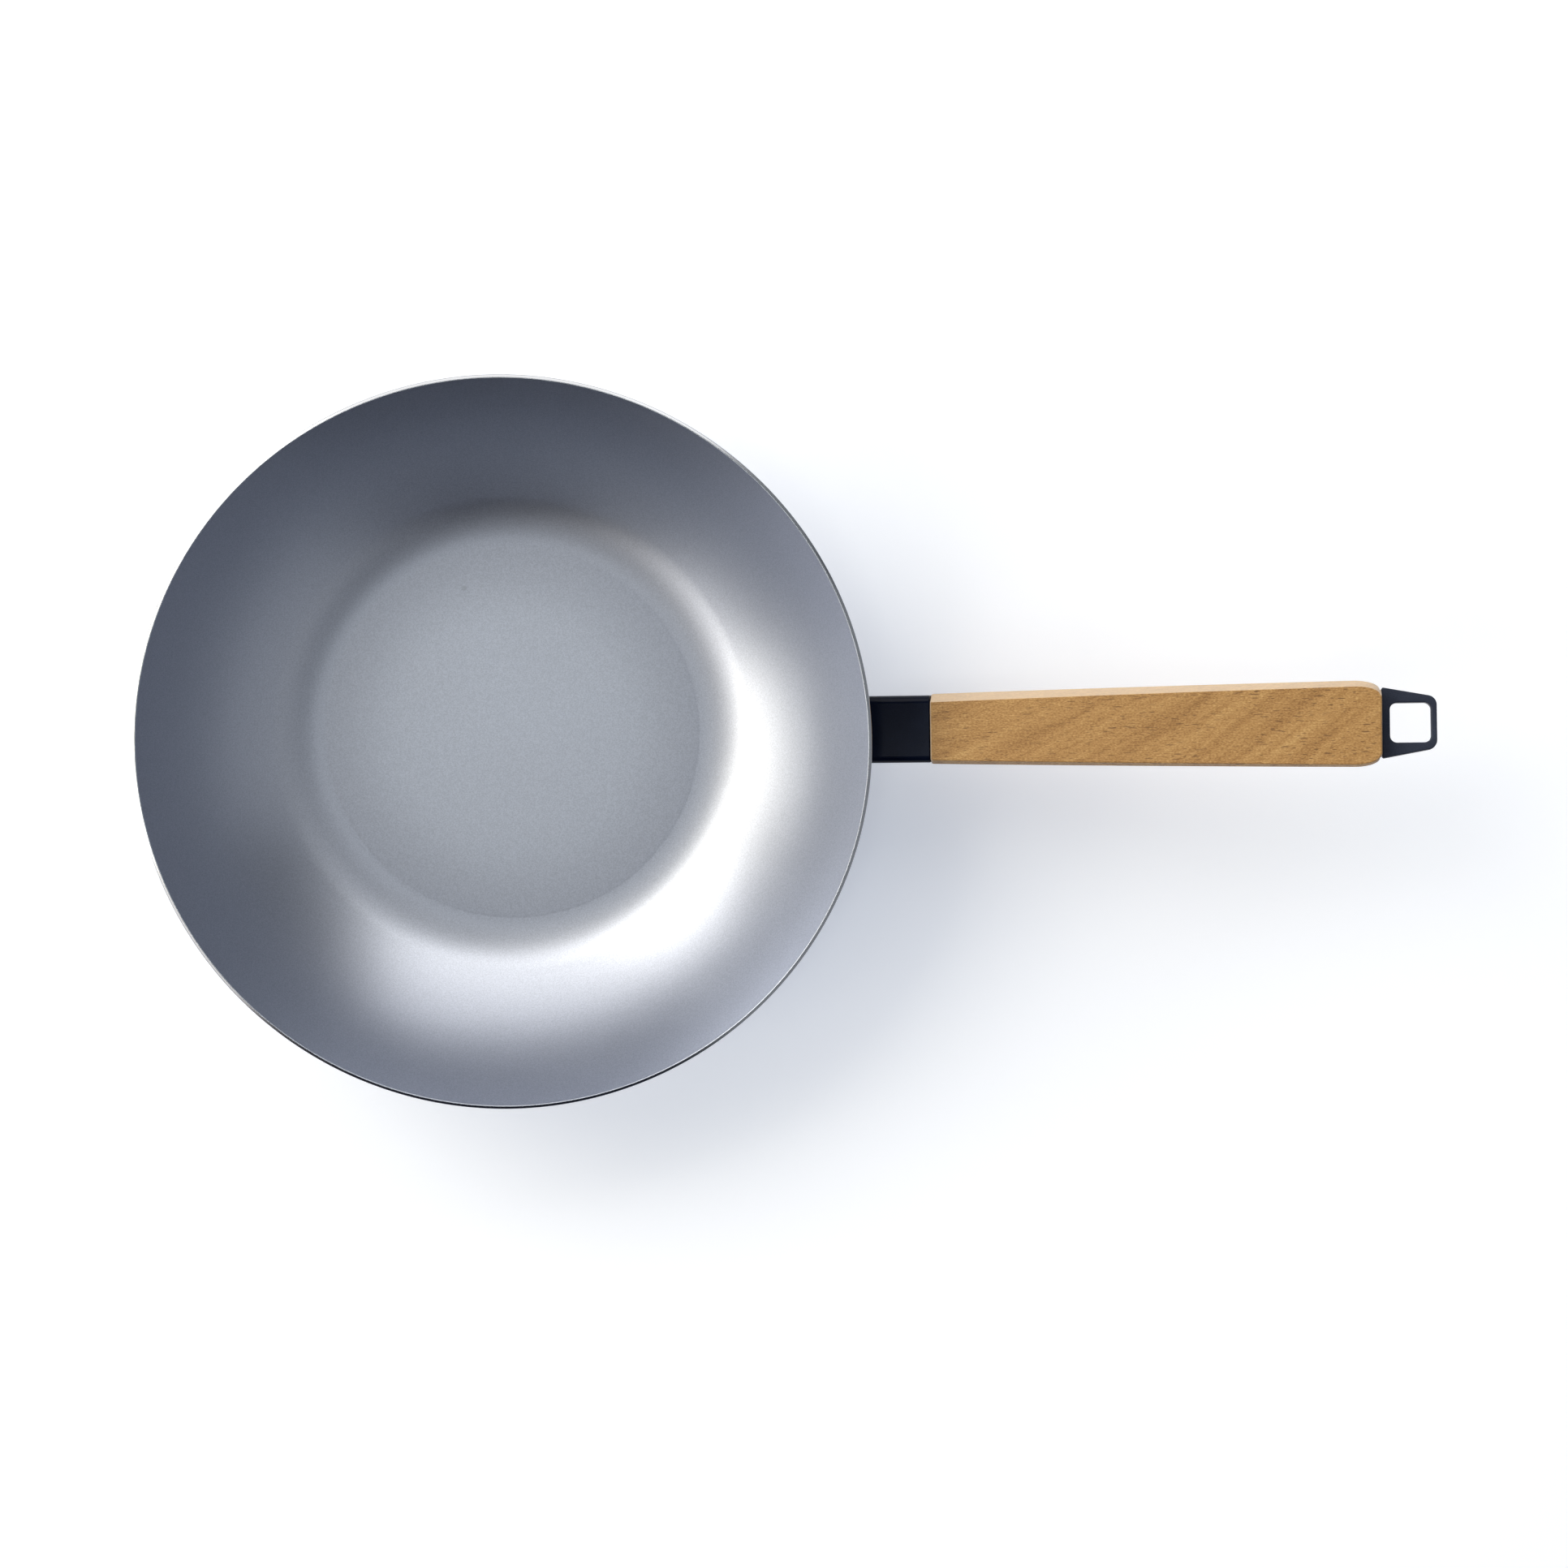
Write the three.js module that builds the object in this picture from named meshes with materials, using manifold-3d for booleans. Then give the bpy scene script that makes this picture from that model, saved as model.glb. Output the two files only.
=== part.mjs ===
// A flat-bottomed steel wok with one long wooden handle.
// Millimetres, +Z up. The origin is the centre of the underside of the flat base.
// The handle points along +X and rises away from the bowl.
import * as THREE from "three";
import { mergeVertices } from "three/addons/utils/BufferGeometryUtils.js";
import Module from "manifold-3d";

const wasm = await Module();
wasm.setup();

// Bowl: one pressed sheet, with a round corner between the flat base and the flared wall
const RIM_DIAMETER = 300;
const BOWL_HEIGHT = 65;
const SHEET = 1.8;
const CORNER_RADIUS = 36;
const CORNER_SLOPE = 38; // degrees from level where the corner runs into the wall
const RIM_SLOPE = 62; // degrees from level at the cut edge

// Handle line: it starts at the front face of the grip
const HANDLE_REACH = 177; // from the bowl's axis to the front face of the grip
const HANDLE_DROP = 27; // from the top of the rim down to the handle line at that face
const HANDLE_RISE = 11; // degrees
const HANDLE_ROLL = -3.75; // degrees that the welded handle stands turned about its own line

// Screwed pieces
const ROD_DIAMETER = 6;
const NUT_WIDTH = 10;
const NUT_HEIGHT = 5;
const NUT_CORNER = 0.5;
const ROD_PAST_NUT = 1; // length of rod that stands out behind the nut

// Neck: rectangular tube on a plate that follows the wall
const NECK_WIDTH = 28;
const NECK_WALL = 2;
const NECK_CORNER = 3.2;
const NUT_ROOM = 1.5; // between the nut and the walls of the tube above and below it
const SADDLE_WIDTH = 54;
const SADDLE_LENGTH = 46; // measured up the wall
const SADDLE_THICKNESS = 2;
const SADDLE_CORNER = 8;
const PLUG_DIAMETER = 6;
const PLUG_CROWN = 0.5; // how far a weld plug stands proud of the plate
const PLUG_INSET = 5.5; // from the side edges of the plate to the centre of a plug
const PLUG_SPACING = 28; // measured up the wall
const WELD_LEG = 3;
const WELD_STEPS = 3;
const END_PLATE_THICKNESS = 2.5;
const PIN_DIAMETER = 4;
const PIN_DEPTH = 10; // how far a locating pin goes into the grip
const PIN_CHAMFER = 0.6;

// Grip: one length of wood with a chamfer along each of its four long edges
const GRIP_LENGTH = 183.5;
const GRIP_THICKNESS = 20;
const GRIP_FRONT_WIDTH = 29;
const GRIP_REAR_WIDTH = 35.2;
const GRIP_SWELL = 0.5; // how far the middle of the grip is wider than a straight taper
const CHAMFER_FRONT = 3.1;
const CHAMFER_REAR = 2;
const CHAMFER_STEEPNESS = 2; // height of a chamfer for each millimetre of its width
const GRIP_EDGE = 0.8; // bevel round the front face and the rear face
const REAR_CORNER_LENGTH = 10;
const REAR_CORNER_DEPTH = 3.8;

// Washers in the counterbore behind the grip
const WASHER_DIAMETER = 13;
const WASHER_THICKNESS = 1.2;
const SPRING_DIAMETER = 11.8;
const SPRING_THICKNESS = 1.6;
const SPRING_SLIT = 1.5;

// Hanging loop: flat plate with a window, on a collar that holds the rod
const LOOP_LENGTH = 22;
const LOOP_BASE_WIDTH = 29.2;
const LOOP_TIP_WIDTH = 21;
const LOOP_THICKNESS = 4;
const LOOP_BASE_CORNER = 0.8;
const LOOP_TIP_CORNER = 4;
const WINDOW_SIZE = 16.3;
const WINDOW_CORNER = 2.8;
const WINDOW_OFFSET = 3.3; // from the grip's side of the plate to the window
const COLLAR_DIAMETER = 13;
const COLLAR_LENGTH = 5.2; // inside the grip
const SOCKET_DEPTH = 4; // how far the rod goes into the collar
const LOOP_TURN = -7.25; // degrees that the tightened loop stands turned from the grip

// Fits
const FIT_GAP = 0.3; // between pieces that touch
const COUNTERBORE_CLEARANCE = 1; // round the washers and the collar

// Fineness of the round faces
const BOWL_SEGMENTS = 72;
const CORNER_STEPS = 6;
const WALL_STEPS = 9;
const ROUND_SEGMENTS = 24;
const ARC_STEPS = 3;
const REAR_CORNER_STEPS = 6;
const GRIP_STEPS = 4;

const PAST = 2; // how far a cutting tool reaches past the face that it cuts

// Solids for cutting and joining

function solidOf(geometry) {
  const bare = geometry.clone();
  bare.deleteAttribute("normal");
  bare.deleteAttribute("uv");
  const merged = mergeVertices(bare, 1e-4);
  const corners = merged.index.array;
  const kept = [];
  for (let i = 0; i < corners.length; i += 3) {
    const [a, b, c] = corners.slice(i, i + 3);
    if (a !== b && b !== c && c !== a) kept.push(a, b, c);
  }
  const vertProperties = new Float32Array(merged.attributes.position.array);
  const triVerts = new Uint32Array(kept);
  return new wasm.Manifold(new wasm.Mesh({ numProp: 3, vertProperties, triVerts }));
}

function geometryOf(solid) {
  const mesh = solid.getMesh();
  const geometry = new THREE.BufferGeometry();
  geometry.setAttribute("position", new THREE.BufferAttribute(mesh.vertProperties, 3));
  geometry.setIndex(new THREE.BufferAttribute(mesh.triVerts, 1));
  geometry.computeVertexNormals();
  return geometry;
}

// Round piece about the X axis: each point is [place along the axis, radius].
function turned(profile) {
  const points = profile.map(([along, radius]) => new THREE.Vector2(radius, along));
  return new THREE.LatheGeometry(points, ROUND_SEGMENTS).rotateZ(-Math.PI / 2);
}

function cylinder(from, to, diameter) {
  const radius = diameter / 2;
  return turned([[from, 0], [from, radius], [to, radius], [to, 0]]);
}

function ring(from, to, outer, inner) {
  const hole = inner / 2;
  const edge = outer / 2;
  return turned([[from, hole], [from, edge], [to, edge], [to, hole], [from, hole]]);
}

function roundedRectangle(width, height, radius) {
  const x = width / 2 - radius;
  const y = height / 2 - radius;
  const quarter = Math.PI / 2;
  const shape = new THREE.Shape();
  shape.absarc(x, y, radius, 0, quarter);
  shape.absarc(-x, y, radius, quarter, 2 * quarter);
  shape.absarc(-x, -y, radius, 2 * quarter, 3 * quarter);
  shape.absarc(x, -y, radius, 3 * quarter, 4 * quarter);
  return shape.closePath();
}

// Outline through corners [x, y, radius], each corner rounded by its radius.
function roundedOutline(corners) {
  const shape = new THREE.Shape();
  const count = corners.length;
  const placed = corners.map(([x, y]) => new THREE.Vector2(x, y));
  for (let i = 0; i < count; i += 1) {
    const here = placed[i];
    const radius = corners[i][2];
    const back = placed[(i + count - 1) % count].clone().sub(here).normalize();
    const on = placed[(i + 1) % count].clone().sub(here).normalize();
    const run = radius / Math.tan(Math.acos(back.dot(on)) / 2);
    const start = here.clone().addScaledVector(back, run);
    const end = here.clone().addScaledVector(on, run);
    if (i === 0) shape.moveTo(start.x, start.y);
    else shape.lineTo(start.x, start.y);
    shape.quadraticCurveTo(here.x, here.y, end.x, end.y);
  }
  return shape.closePath();
}

// Straight bar with its section in the YZ plane, between two places along the X axis.
function bar(shape, from, to) {
  const options = { depth: to - from, bevelEnabled: false, curveSegments: ARC_STEPS };
  const across = new THREE.Vector3(0, 1, 0);
  const up = new THREE.Vector3(0, 0, 1);
  const along = new THREE.Vector3(1, 0, 0);
  const turn = new THREE.Matrix4().makeBasis(across, up, along);
  return new THREE.ExtrudeGeometry(shape, options).applyMatrix4(turn).translate(from, 0, 0);
}

function meshOf(name, geometry, color, roughness, metalness) {
  const material = new THREE.MeshStandardMaterial({ color, roughness, metalness });
  const mesh = new THREE.Mesh(geometry, material);
  mesh.name = name;
  return mesh;
}

// The bowl's curve: out is the distance from the inside face, through the sheet and beyond

const radians = THREE.MathUtils.degToRad;
const cornerSlope = radians(CORNER_SLOPE);
const rimSlope = radians(RIM_SLOPE);
const cornerRise = CORNER_RADIUS * (1 - Math.cos(cornerSlope));
const wallRise = BOWL_HEIGHT - SHEET - cornerRise;
const wallRadius = wallRise / (Math.cos(cornerSlope) - Math.cos(rimSlope));
const insideRim = RIM_DIAMETER / 2 - SHEET * Math.sin(rimSlope);
const wallCentre = new THREE.Vector2(
  insideRim - wallRadius * Math.sin(rimSlope),
  BOWL_HEIGHT + wallRadius * Math.cos(rimSlope),
);
const cornerCentre = new THREE.Vector2(
  wallCentre.x + (wallRadius - CORNER_RADIUS) * Math.sin(cornerSlope),
  SHEET + CORNER_RADIUS,
);

function pointOnArc(centre, radius, slope) {
  const x = centre.x + radius * Math.sin(slope);
  const y = centre.y - radius * Math.cos(slope);
  return new THREE.Vector2(x, y);
}

function bowlCurve(out) {
  const points = [new THREE.Vector2(0, SHEET - out)];
  for (let i = 0; i <= CORNER_STEPS; i += 1) {
    const slope = (cornerSlope * i) / CORNER_STEPS;
    points.push(pointOnArc(cornerCentre, CORNER_RADIUS + out, slope));
  }
  for (let i = 1; i <= WALL_STEPS; i += 1) {
    const slope = THREE.MathUtils.lerp(cornerSlope, rimSlope, i / WALL_STEPS);
    points.push(pointOnArc(wallCentre, wallRadius + out, slope));
  }
  return points;
}

function revolved(points) {
  return new THREE.LatheGeometry(points, BOWL_SEGMENTS).rotateX(Math.PI / 2);
}

function makeBowl() {
  const outside = bowlCurve(SHEET);
  const inside = bowlCurve(0).reverse();
  return meshOf("wok_bowl", revolved([...outside, ...inside]), 0x8f959b, 0.42, 1);
}

// Filled bowl whose surface lies the given distance outside the sheet, for cutting what meets the wall.
function filledBowl(distance) {
  const curve = bowlCurve(SHEET + distance);
  const top = curve[curve.length - 1].y;
  return solidOf(revolved([...curve, new THREE.Vector2(0, top)]));
}

function layerOnBowl(from, to) {
  return filledBowl(to).subtract(filledBowl(from));
}

// Where the handle line meets the outside of the wall

const rise = radians(HANDLE_RISE);
const handle = new THREE.Group();
handle.position.set(HANDLE_REACH, 0, BOWL_HEIGHT - HANDLE_DROP);
handle.rotation.set(radians(HANDLE_ROLL), -rise, 0, "YXZ");
handle.updateMatrix();
const toHandle = handle.matrix.clone().invert();

const handleStart = new THREE.Vector2(handle.position.x, handle.position.z);
const handleLine = new THREE.Vector2(Math.cos(rise), Math.sin(rise));
const fromCentre = handleStart.clone().sub(wallCentre);
const nearest = fromCentre.dot(handleLine);
const outsideRadius = wallRadius + SHEET;
const halfChord = Math.sqrt(nearest ** 2 - fromCentre.lengthSq() + outsideRadius ** 2);
const neckLength = nearest - halfChord;
const seat = handleStart.clone().addScaledVector(handleLine, -neckLength);
const seatOut = seat.clone().sub(wallCentre).normalize();

// Lays a shape on the wall at that place, as a tool that passes straight through it.
function throughWall(shape) {
  const depth = 2 * SADDLE_WIDTH; // deep enough for the whole bend of the wall behind the plate
  const options = { depth, bevelEnabled: false, curveSegments: ARC_STEPS };
  const across = new THREE.Vector3(0, 1, 0);
  const up = new THREE.Vector3(-seatOut.y, 0, seatOut.x);
  const out = new THREE.Vector3(seatOut.x, 0, seatOut.y);
  const place = new THREE.Matrix4().makeBasis(across, up, out).setPosition(seat.x, 0, seat.y);
  const tool = new THREE.ExtrudeGeometry(shape, options).translate(0, 0, -depth / 2);
  return solidOf(tool.applyMatrix4(place));
}

const plateFrom = FIT_GAP;
const plateTo = plateFrom + SADDLE_THICKNESS;
const plugAcross = SADDLE_WIDTH / 2 - PLUG_INSET;
const plugUp = PLUG_SPACING / 2;
const plugPlaces = [
  [plugAcross, plugUp],
  [-plugAcross, plugUp],
  [-plugAcross, -plugUp],
  [plugAcross, -plugUp],
];

function plugTool([across, up], diameter) {
  const shape = new THREE.Shape().absarc(across, up, diameter / 2, 0, 2 * Math.PI);
  return throughWall(shape);
}

function makeSaddle() {
  const outline = roundedRectangle(SADDLE_WIDTH, SADDLE_LENGTH, SADDLE_CORNER);
  let plate = layerOnBowl(plateFrom, plateTo).intersect(throughWall(outline));
  for (const place of plugPlaces) {
    plate = plate.subtract(plugTool(place, PLUG_DIAMETER + 2 * FIT_GAP));
  }
  return meshOf("saddle_plate", geometryOf(plate), 0x14171f, 0.5, 0.3);
}

function makePlugs() {
  const weld = layerOnBowl(plateFrom, plateTo + PLUG_CROWN);
  return plugPlaces.map((place, index) => {
    const plug = weld.intersect(plugTool(place, PLUG_DIAMETER));
    return meshOf("plug_weld_" + (index + 1), geometryOf(plug), 0x171a22, 0.55, 0.3);
  });
}

// Neck tube and the weld round its foot, in the handle's own frame

const neckHeight = NUT_WIDTH + 2 * (NUT_ROOM + NECK_WALL);
const neckFoot = plateTo + FIT_GAP;
const neckTail = -neckLength - SADDLE_LENGTH; // past the wall, where the tube is cut to fit it

function neckSection(grown) {
  return roundedRectangle(NECK_WIDTH + 2 * grown, neckHeight + 2 * grown, NECK_CORNER + grown);
}

function makeNeck() {
  const outside = solidOf(bar(neckSection(0), neckTail, -FIT_GAP));
  const inside = solidOf(bar(neckSection(-NECK_WALL), neckTail - PAST, PAST));
  const wall = filledBowl(neckFoot).transform(toHandle.elements);
  const neck = outside.subtract(inside).subtract(wall);
  return meshOf("neck_tube", geometryOf(neck), 0x10141d, 0.42, 0.3);
}

function makeNeckWeld() {
  const step = WELD_LEG / WELD_STEPS;
  const inside = solidOf(bar(neckSection(FIT_GAP), neckTail - PAST, PAST));
  const layers = [];
  for (let i = 0; i < WELD_STEPS; i += 1) {
    const leg = FIT_GAP + WELD_LEG - i * step;
    const layer = layerOnBowl(neckFoot, neckFoot + (i + 1) * step).transform(toHandle.elements);
    layers.push(layer.intersect(solidOf(bar(neckSection(leg), neckTail, -FIT_GAP))));
  }
  const bead = layers.reduce((whole, layer) => whole.add(layer)).subtract(inside);
  return meshOf("neck_weld", geometryOf(bead), 0x171a22, 0.55, 0.3);
}

// What closes the mouth of the neck and takes the rod

const boreDiameter = ROD_DIAMETER + 2 * FIT_GAP;
const endPlateBack = -FIT_GAP - END_PLATE_THICKNESS;
const nutFront = endPlateBack - FIT_GAP;
const nutBack = nutFront - NUT_HEIGHT;
const pinAcross = (NUT_WIDTH + NECK_WIDTH - 2 * NECK_WALL) / 4;

function pinHole(side) {
  const tool = cylinder(endPlateBack - PAST, PIN_DEPTH + FIT_GAP, PIN_DIAMETER + 2 * FIT_GAP);
  return solidOf(tool.translate(0, side * pinAcross, 0));
}

function makeEndPlate() {
  const outline = neckSection(-NECK_WALL - FIT_GAP);
  const bore = solidOf(cylinder(endPlateBack - PAST, PAST, boreDiameter));
  const plate = solidOf(bar(outline, endPlateBack, -FIT_GAP))
    .subtract(bore)
    .subtract(pinHole(1))
    .subtract(pinHole(-1));
  return meshOf("end_plate", geometryOf(plate), 0x10141d, 0.45, 0.3);
}

function makeNut() {
  const square = roundedRectangle(NUT_WIDTH, NUT_WIDTH, NUT_CORNER);
  const bore = solidOf(cylinder(nutBack - PAST, nutFront + PAST, boreDiameter));
  const nut = solidOf(bar(square, nutBack, nutFront)).subtract(bore);
  return meshOf("weld_nut", geometryOf(nut), 0x9a9da1, 0.4, 1);
}

function makePin(name, side) {
  const radius = PIN_DIAMETER / 2;
  const pin = turned([
    [endPlateBack, 0],
    [endPlateBack, radius],
    [PIN_DEPTH - PIN_CHAMFER, radius],
    [PIN_DEPTH, radius - PIN_CHAMFER],
    [PIN_DEPTH, 0],
  ]);
  const mesh = meshOf(name, pin, 0x9a9da1, 0.35, 1);
  mesh.position.y = side * pinAcross;
  return mesh;
}

// Places along the handle behind the grip, from the bottom of the counterbore to the loop

const washerFrom = GRIP_LENGTH - COLLAR_LENGTH - SPRING_THICKNESS - WASHER_THICKNESS - 2 * FIT_GAP;
const washerTo = washerFrom + WASHER_THICKNESS;
const springFrom = washerTo + FIT_GAP;
const springTo = springFrom + SPRING_THICKNESS;
const collarFrom = springTo + FIT_GAP;
const loopFrom = GRIP_LENGTH + FIT_GAP;
const counterboreFloor = washerFrom - FIT_GAP;
const widest = Math.max(WASHER_DIAMETER, SPRING_DIAMETER, COLLAR_DIAMETER);
const counterbore = widest + 2 * COUNTERBORE_CLEARANCE;

// Grip: eight-sided sections along the handle line

function gripSection(along, inset, cornerCut) {
  const share = along / GRIP_LENGTH;
  const swell = GRIP_SWELL * 4 * share * (1 - share);
  const width = THREE.MathUtils.lerp(GRIP_FRONT_WIDTH, GRIP_REAR_WIDTH, share) + swell;
  const chamfer = THREE.MathUtils.lerp(CHAMFER_FRONT, CHAMFER_REAR, share);
  const side = width / 2 - inset - cornerCut;
  const flat = side - chamfer;
  const top = GRIP_THICKNESS / 2 - inset;
  const shoulder = top - CHAMFER_STEEPNESS * chamfer;
  return [
    new THREE.Vector3(along, side, shoulder),
    new THREE.Vector3(along, flat, top),
    new THREE.Vector3(along, -flat, top),
    new THREE.Vector3(along, -side, shoulder),
    new THREE.Vector3(along, -side, -shoulder),
    new THREE.Vector3(along, -flat, -top),
    new THREE.Vector3(along, flat, -top),
    new THREE.Vector3(along, side, -shoulder),
  ];
}

function gripSections() {
  const cornerFrom = GRIP_LENGTH - GRIP_EDGE - REAR_CORNER_LENGTH;
  const sections = [gripSection(0, GRIP_EDGE, 0)];
  for (let i = 0; i < GRIP_STEPS; i += 1) {
    const along = THREE.MathUtils.lerp(GRIP_EDGE, cornerFrom, i / GRIP_STEPS);
    sections.push(gripSection(along, 0, 0));
  }
  for (let i = 0; i <= REAR_CORNER_STEPS; i += 1) {
    const angle = ((Math.PI / 2) * i) / REAR_CORNER_STEPS;
    const along = cornerFrom + REAR_CORNER_LENGTH * Math.sin(angle);
    sections.push(gripSection(along, 0, REAR_CORNER_DEPTH * (1 - Math.cos(angle))));
  }
  sections.push(gripSection(GRIP_LENGTH, GRIP_EDGE, REAR_CORNER_DEPTH));
  return sections;
}

// Closed body through sections that all have the same number of points.
function loft(sections) {
  const count = sections[0].length;
  const last = (sections.length - 1) * count;
  const faces = [];
  for (let i = 0; i < last; i += count) {
    for (let j = 0; j < count; j += 1) {
      const next = (j + 1) % count;
      faces.push(i + j, i + next, i + count + next);
      faces.push(i + j, i + count + next, i + count + j);
    }
  }
  for (let j = 1; j < count - 1; j += 1) {
    faces.push(0, j + 1, j);
    faces.push(last, last + j, last + j + 1);
  }
  return new THREE.BufferGeometry().setFromPoints(sections.flat()).setIndex(faces);
}

function makeGrip() {
  const bore = cylinder(-PAST, GRIP_LENGTH + PAST, boreDiameter);
  const seatBore = cylinder(counterboreFloor, GRIP_LENGTH + PAST, counterbore);
  const grip = solidOf(loft(gripSections()))
    .subtract(solidOf(bore))
    .subtract(solidOf(seatBore))
    .subtract(pinHole(1))
    .subtract(pinHole(-1));
  return meshOf("grip", geometryOf(grip), 0xb98a52, 0.6, 0);
}

// Rod, washers and loop

function makeRod() {
  const from = nutBack - ROD_PAST_NUT;
  const to = collarFrom + SOCKET_DEPTH - FIT_GAP;
  return meshOf("tie_rod", cylinder(from, to, ROD_DIAMETER), 0x9a9da1, 0.35, 1);
}

function makeWasher() {
  const washer = ring(washerFrom, washerTo, WASHER_DIAMETER, boreDiameter);
  return meshOf("flat_washer", washer, 0xa6a9ad, 0.35, 1);
}

function makeSpringWasher() {
  const slit = new THREE.BoxGeometry(SPRING_THICKNESS + PAST, SPRING_DIAMETER, SPRING_SLIT);
  slit.translate((springFrom + springTo) / 2, SPRING_DIAMETER / 2, 0);
  const whole = ring(springFrom, springTo, SPRING_DIAMETER, boreDiameter);
  const spring = solidOf(whole).subtract(solidOf(slit));
  return meshOf("spring_washer", geometryOf(spring), 0x8c8f93, 0.4, 1);
}

function loopPlate() {
  const tip = loopFrom + LOOP_LENGTH;
  const outline = roundedOutline([
    [loopFrom, LOOP_BASE_WIDTH / 2, LOOP_BASE_CORNER],
    [loopFrom, -LOOP_BASE_WIDTH / 2, LOOP_BASE_CORNER],
    [tip, -LOOP_TIP_WIDTH / 2, LOOP_TIP_CORNER],
    [tip, LOOP_TIP_WIDTH / 2, LOOP_TIP_CORNER],
  ]);
  const options = { depth: LOOP_THICKNESS, bevelEnabled: false, curveSegments: 2 * ARC_STEPS };
  const plate = new THREE.ExtrudeGeometry(outline, options).translate(0, 0, -LOOP_THICKNESS / 2);
  const windowMiddle = loopFrom + WINDOW_OFFSET + WINDOW_SIZE / 2;
  const windowOutline = roundedRectangle(WINDOW_SIZE, WINDOW_SIZE, WINDOW_CORNER);
  const windowOptions = { ...options, depth: LOOP_THICKNESS + 2 * PAST };
  const hole = new THREE.ExtrudeGeometry(windowOutline, windowOptions);
  hole.translate(windowMiddle, 0, -LOOP_THICKNESS / 2 - PAST);
  return solidOf(plate).subtract(solidOf(hole));
}

function makeLoop() {
  const tongueLength = loopFrom + WINDOW_OFFSET / 2 - collarFrom;
  const tongueWidth = COLLAR_DIAMETER / Math.SQRT2;
  const tongue = new THREE.BoxGeometry(tongueLength, tongueWidth, LOOP_THICKNESS);
  tongue.translate(collarFrom + tongueLength / 2, 0, 0);
  const socket = cylinder(collarFrom - PAST, collarFrom + SOCKET_DEPTH, boreDiameter);
  const loop = loopPlate()
    .add(solidOf(tongue))
    .add(solidOf(cylinder(collarFrom, loopFrom, COLLAR_DIAMETER)))
    .subtract(solidOf(socket));
  return meshOf("hanging_loop", geometryOf(loop), 0x191d27, 0.45, 0.4);
}

// The whole wok

const screwed = new THREE.Group();
screwed.rotation.x = radians(LOOP_TURN);
screwed.add(makeRod(), makeLoop());

handle.add(makeNeck(), makeNeckWeld(), makeEndPlate(), makeNut());
handle.add(makePin("locating_pin_left", 1), makePin("locating_pin_right", -1));
handle.add(makeGrip(), makeWasher(), makeSpringWasher(), screwed);

const wok = new THREE.Group();
wok.add(makeBowl(), makeSaddle(), ...makePlugs(), handle);

export default wok;
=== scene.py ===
# %% [markdown]
# # A flat-bottomed wok with a wooden grip
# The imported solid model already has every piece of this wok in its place. This lesson gives the
# same pieces their real surfaces: spun sheet steel, black coated fittings and oiled beech. Every
# mesh is made in metres in the solid model's own frame, so nothing has to be fitted by eye.

import math

import bmesh
import bpy
from mathutils import Matrix, Vector
from mathutils.geometry import delaunay_2d_cdt


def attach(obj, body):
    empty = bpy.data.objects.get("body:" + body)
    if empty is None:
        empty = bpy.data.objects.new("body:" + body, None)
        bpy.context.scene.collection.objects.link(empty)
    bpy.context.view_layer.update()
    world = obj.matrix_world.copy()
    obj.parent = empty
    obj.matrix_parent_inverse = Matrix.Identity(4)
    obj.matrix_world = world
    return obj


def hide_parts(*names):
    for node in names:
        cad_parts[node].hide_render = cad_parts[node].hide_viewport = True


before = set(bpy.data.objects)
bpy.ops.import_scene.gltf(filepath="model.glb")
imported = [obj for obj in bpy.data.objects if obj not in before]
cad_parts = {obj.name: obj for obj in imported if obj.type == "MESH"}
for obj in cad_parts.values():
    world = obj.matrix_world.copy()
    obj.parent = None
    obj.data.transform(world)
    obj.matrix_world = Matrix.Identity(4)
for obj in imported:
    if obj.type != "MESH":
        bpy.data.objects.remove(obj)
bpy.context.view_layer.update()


def short(values):
    return [round(x, 4) for x in values]


# %% [markdown]
# ## Two frames to work in
# The bowl stands on the origin. The handle has a frame of its own: it starts where the wood
# begins, its X axis climbs by 11 degrees along the rod, and it stands rolled a few degrees about
# that line, as it was welded. All lengths are written in millimetres, as on a drawing, and one
# matrix takes them to metres in the wok's frame.

# %% The bowl's frame and the handle's frame
MM = 0.001
HANDLE_START = Vector((177, 0, 38))
HANDLE_RISE = math.radians(11)
HANDLE_ROLL = math.radians(-3.75)
LOOP_TURN = math.radians(-7.25)

millimetres = Matrix.Scale(MM, 4)
handle_turn = Matrix.Rotation(-HANDLE_RISE, 4, "Y") @ Matrix.Rotation(HANDLE_ROLL, 4, "X")
handle_frame = millimetres @ Matrix.Translation(HANDLE_START) @ handle_turn
loop_frame = handle_frame @ Matrix.Rotation(LOOP_TURN, 4, "X")
# A turned piece is made round Z, and this lays Z along X.
lay_down = Matrix.Rotation(math.pi / 2, 4, "Y")
to_handle = handle_turn.inverted().to_euler()


def in_handle(x, y, z):
    return handle_frame @ Vector((x, y, z))


print("the handle starts at", short(in_handle(0, 0, 0)))

# %% [markdown]
# ## The camera
# The wok is seen from above, a little off its axis, so the camera hangs 1.16 m up and leans by a
# few degrees. The lens and the lean come from the rim's circle, the ring round the flat base and
# the two ends of the grip. No lens shift is needed.

# %% Hang the camera over the wok
CAMERA_PLACE = Vector((71.2, 100.7, 1161.7))
CAMERA_LEAN = (math.radians(-6.201), math.radians(-2.185), math.radians(-1.723))
LENS = 62.1
SENSOR = 36

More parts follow.
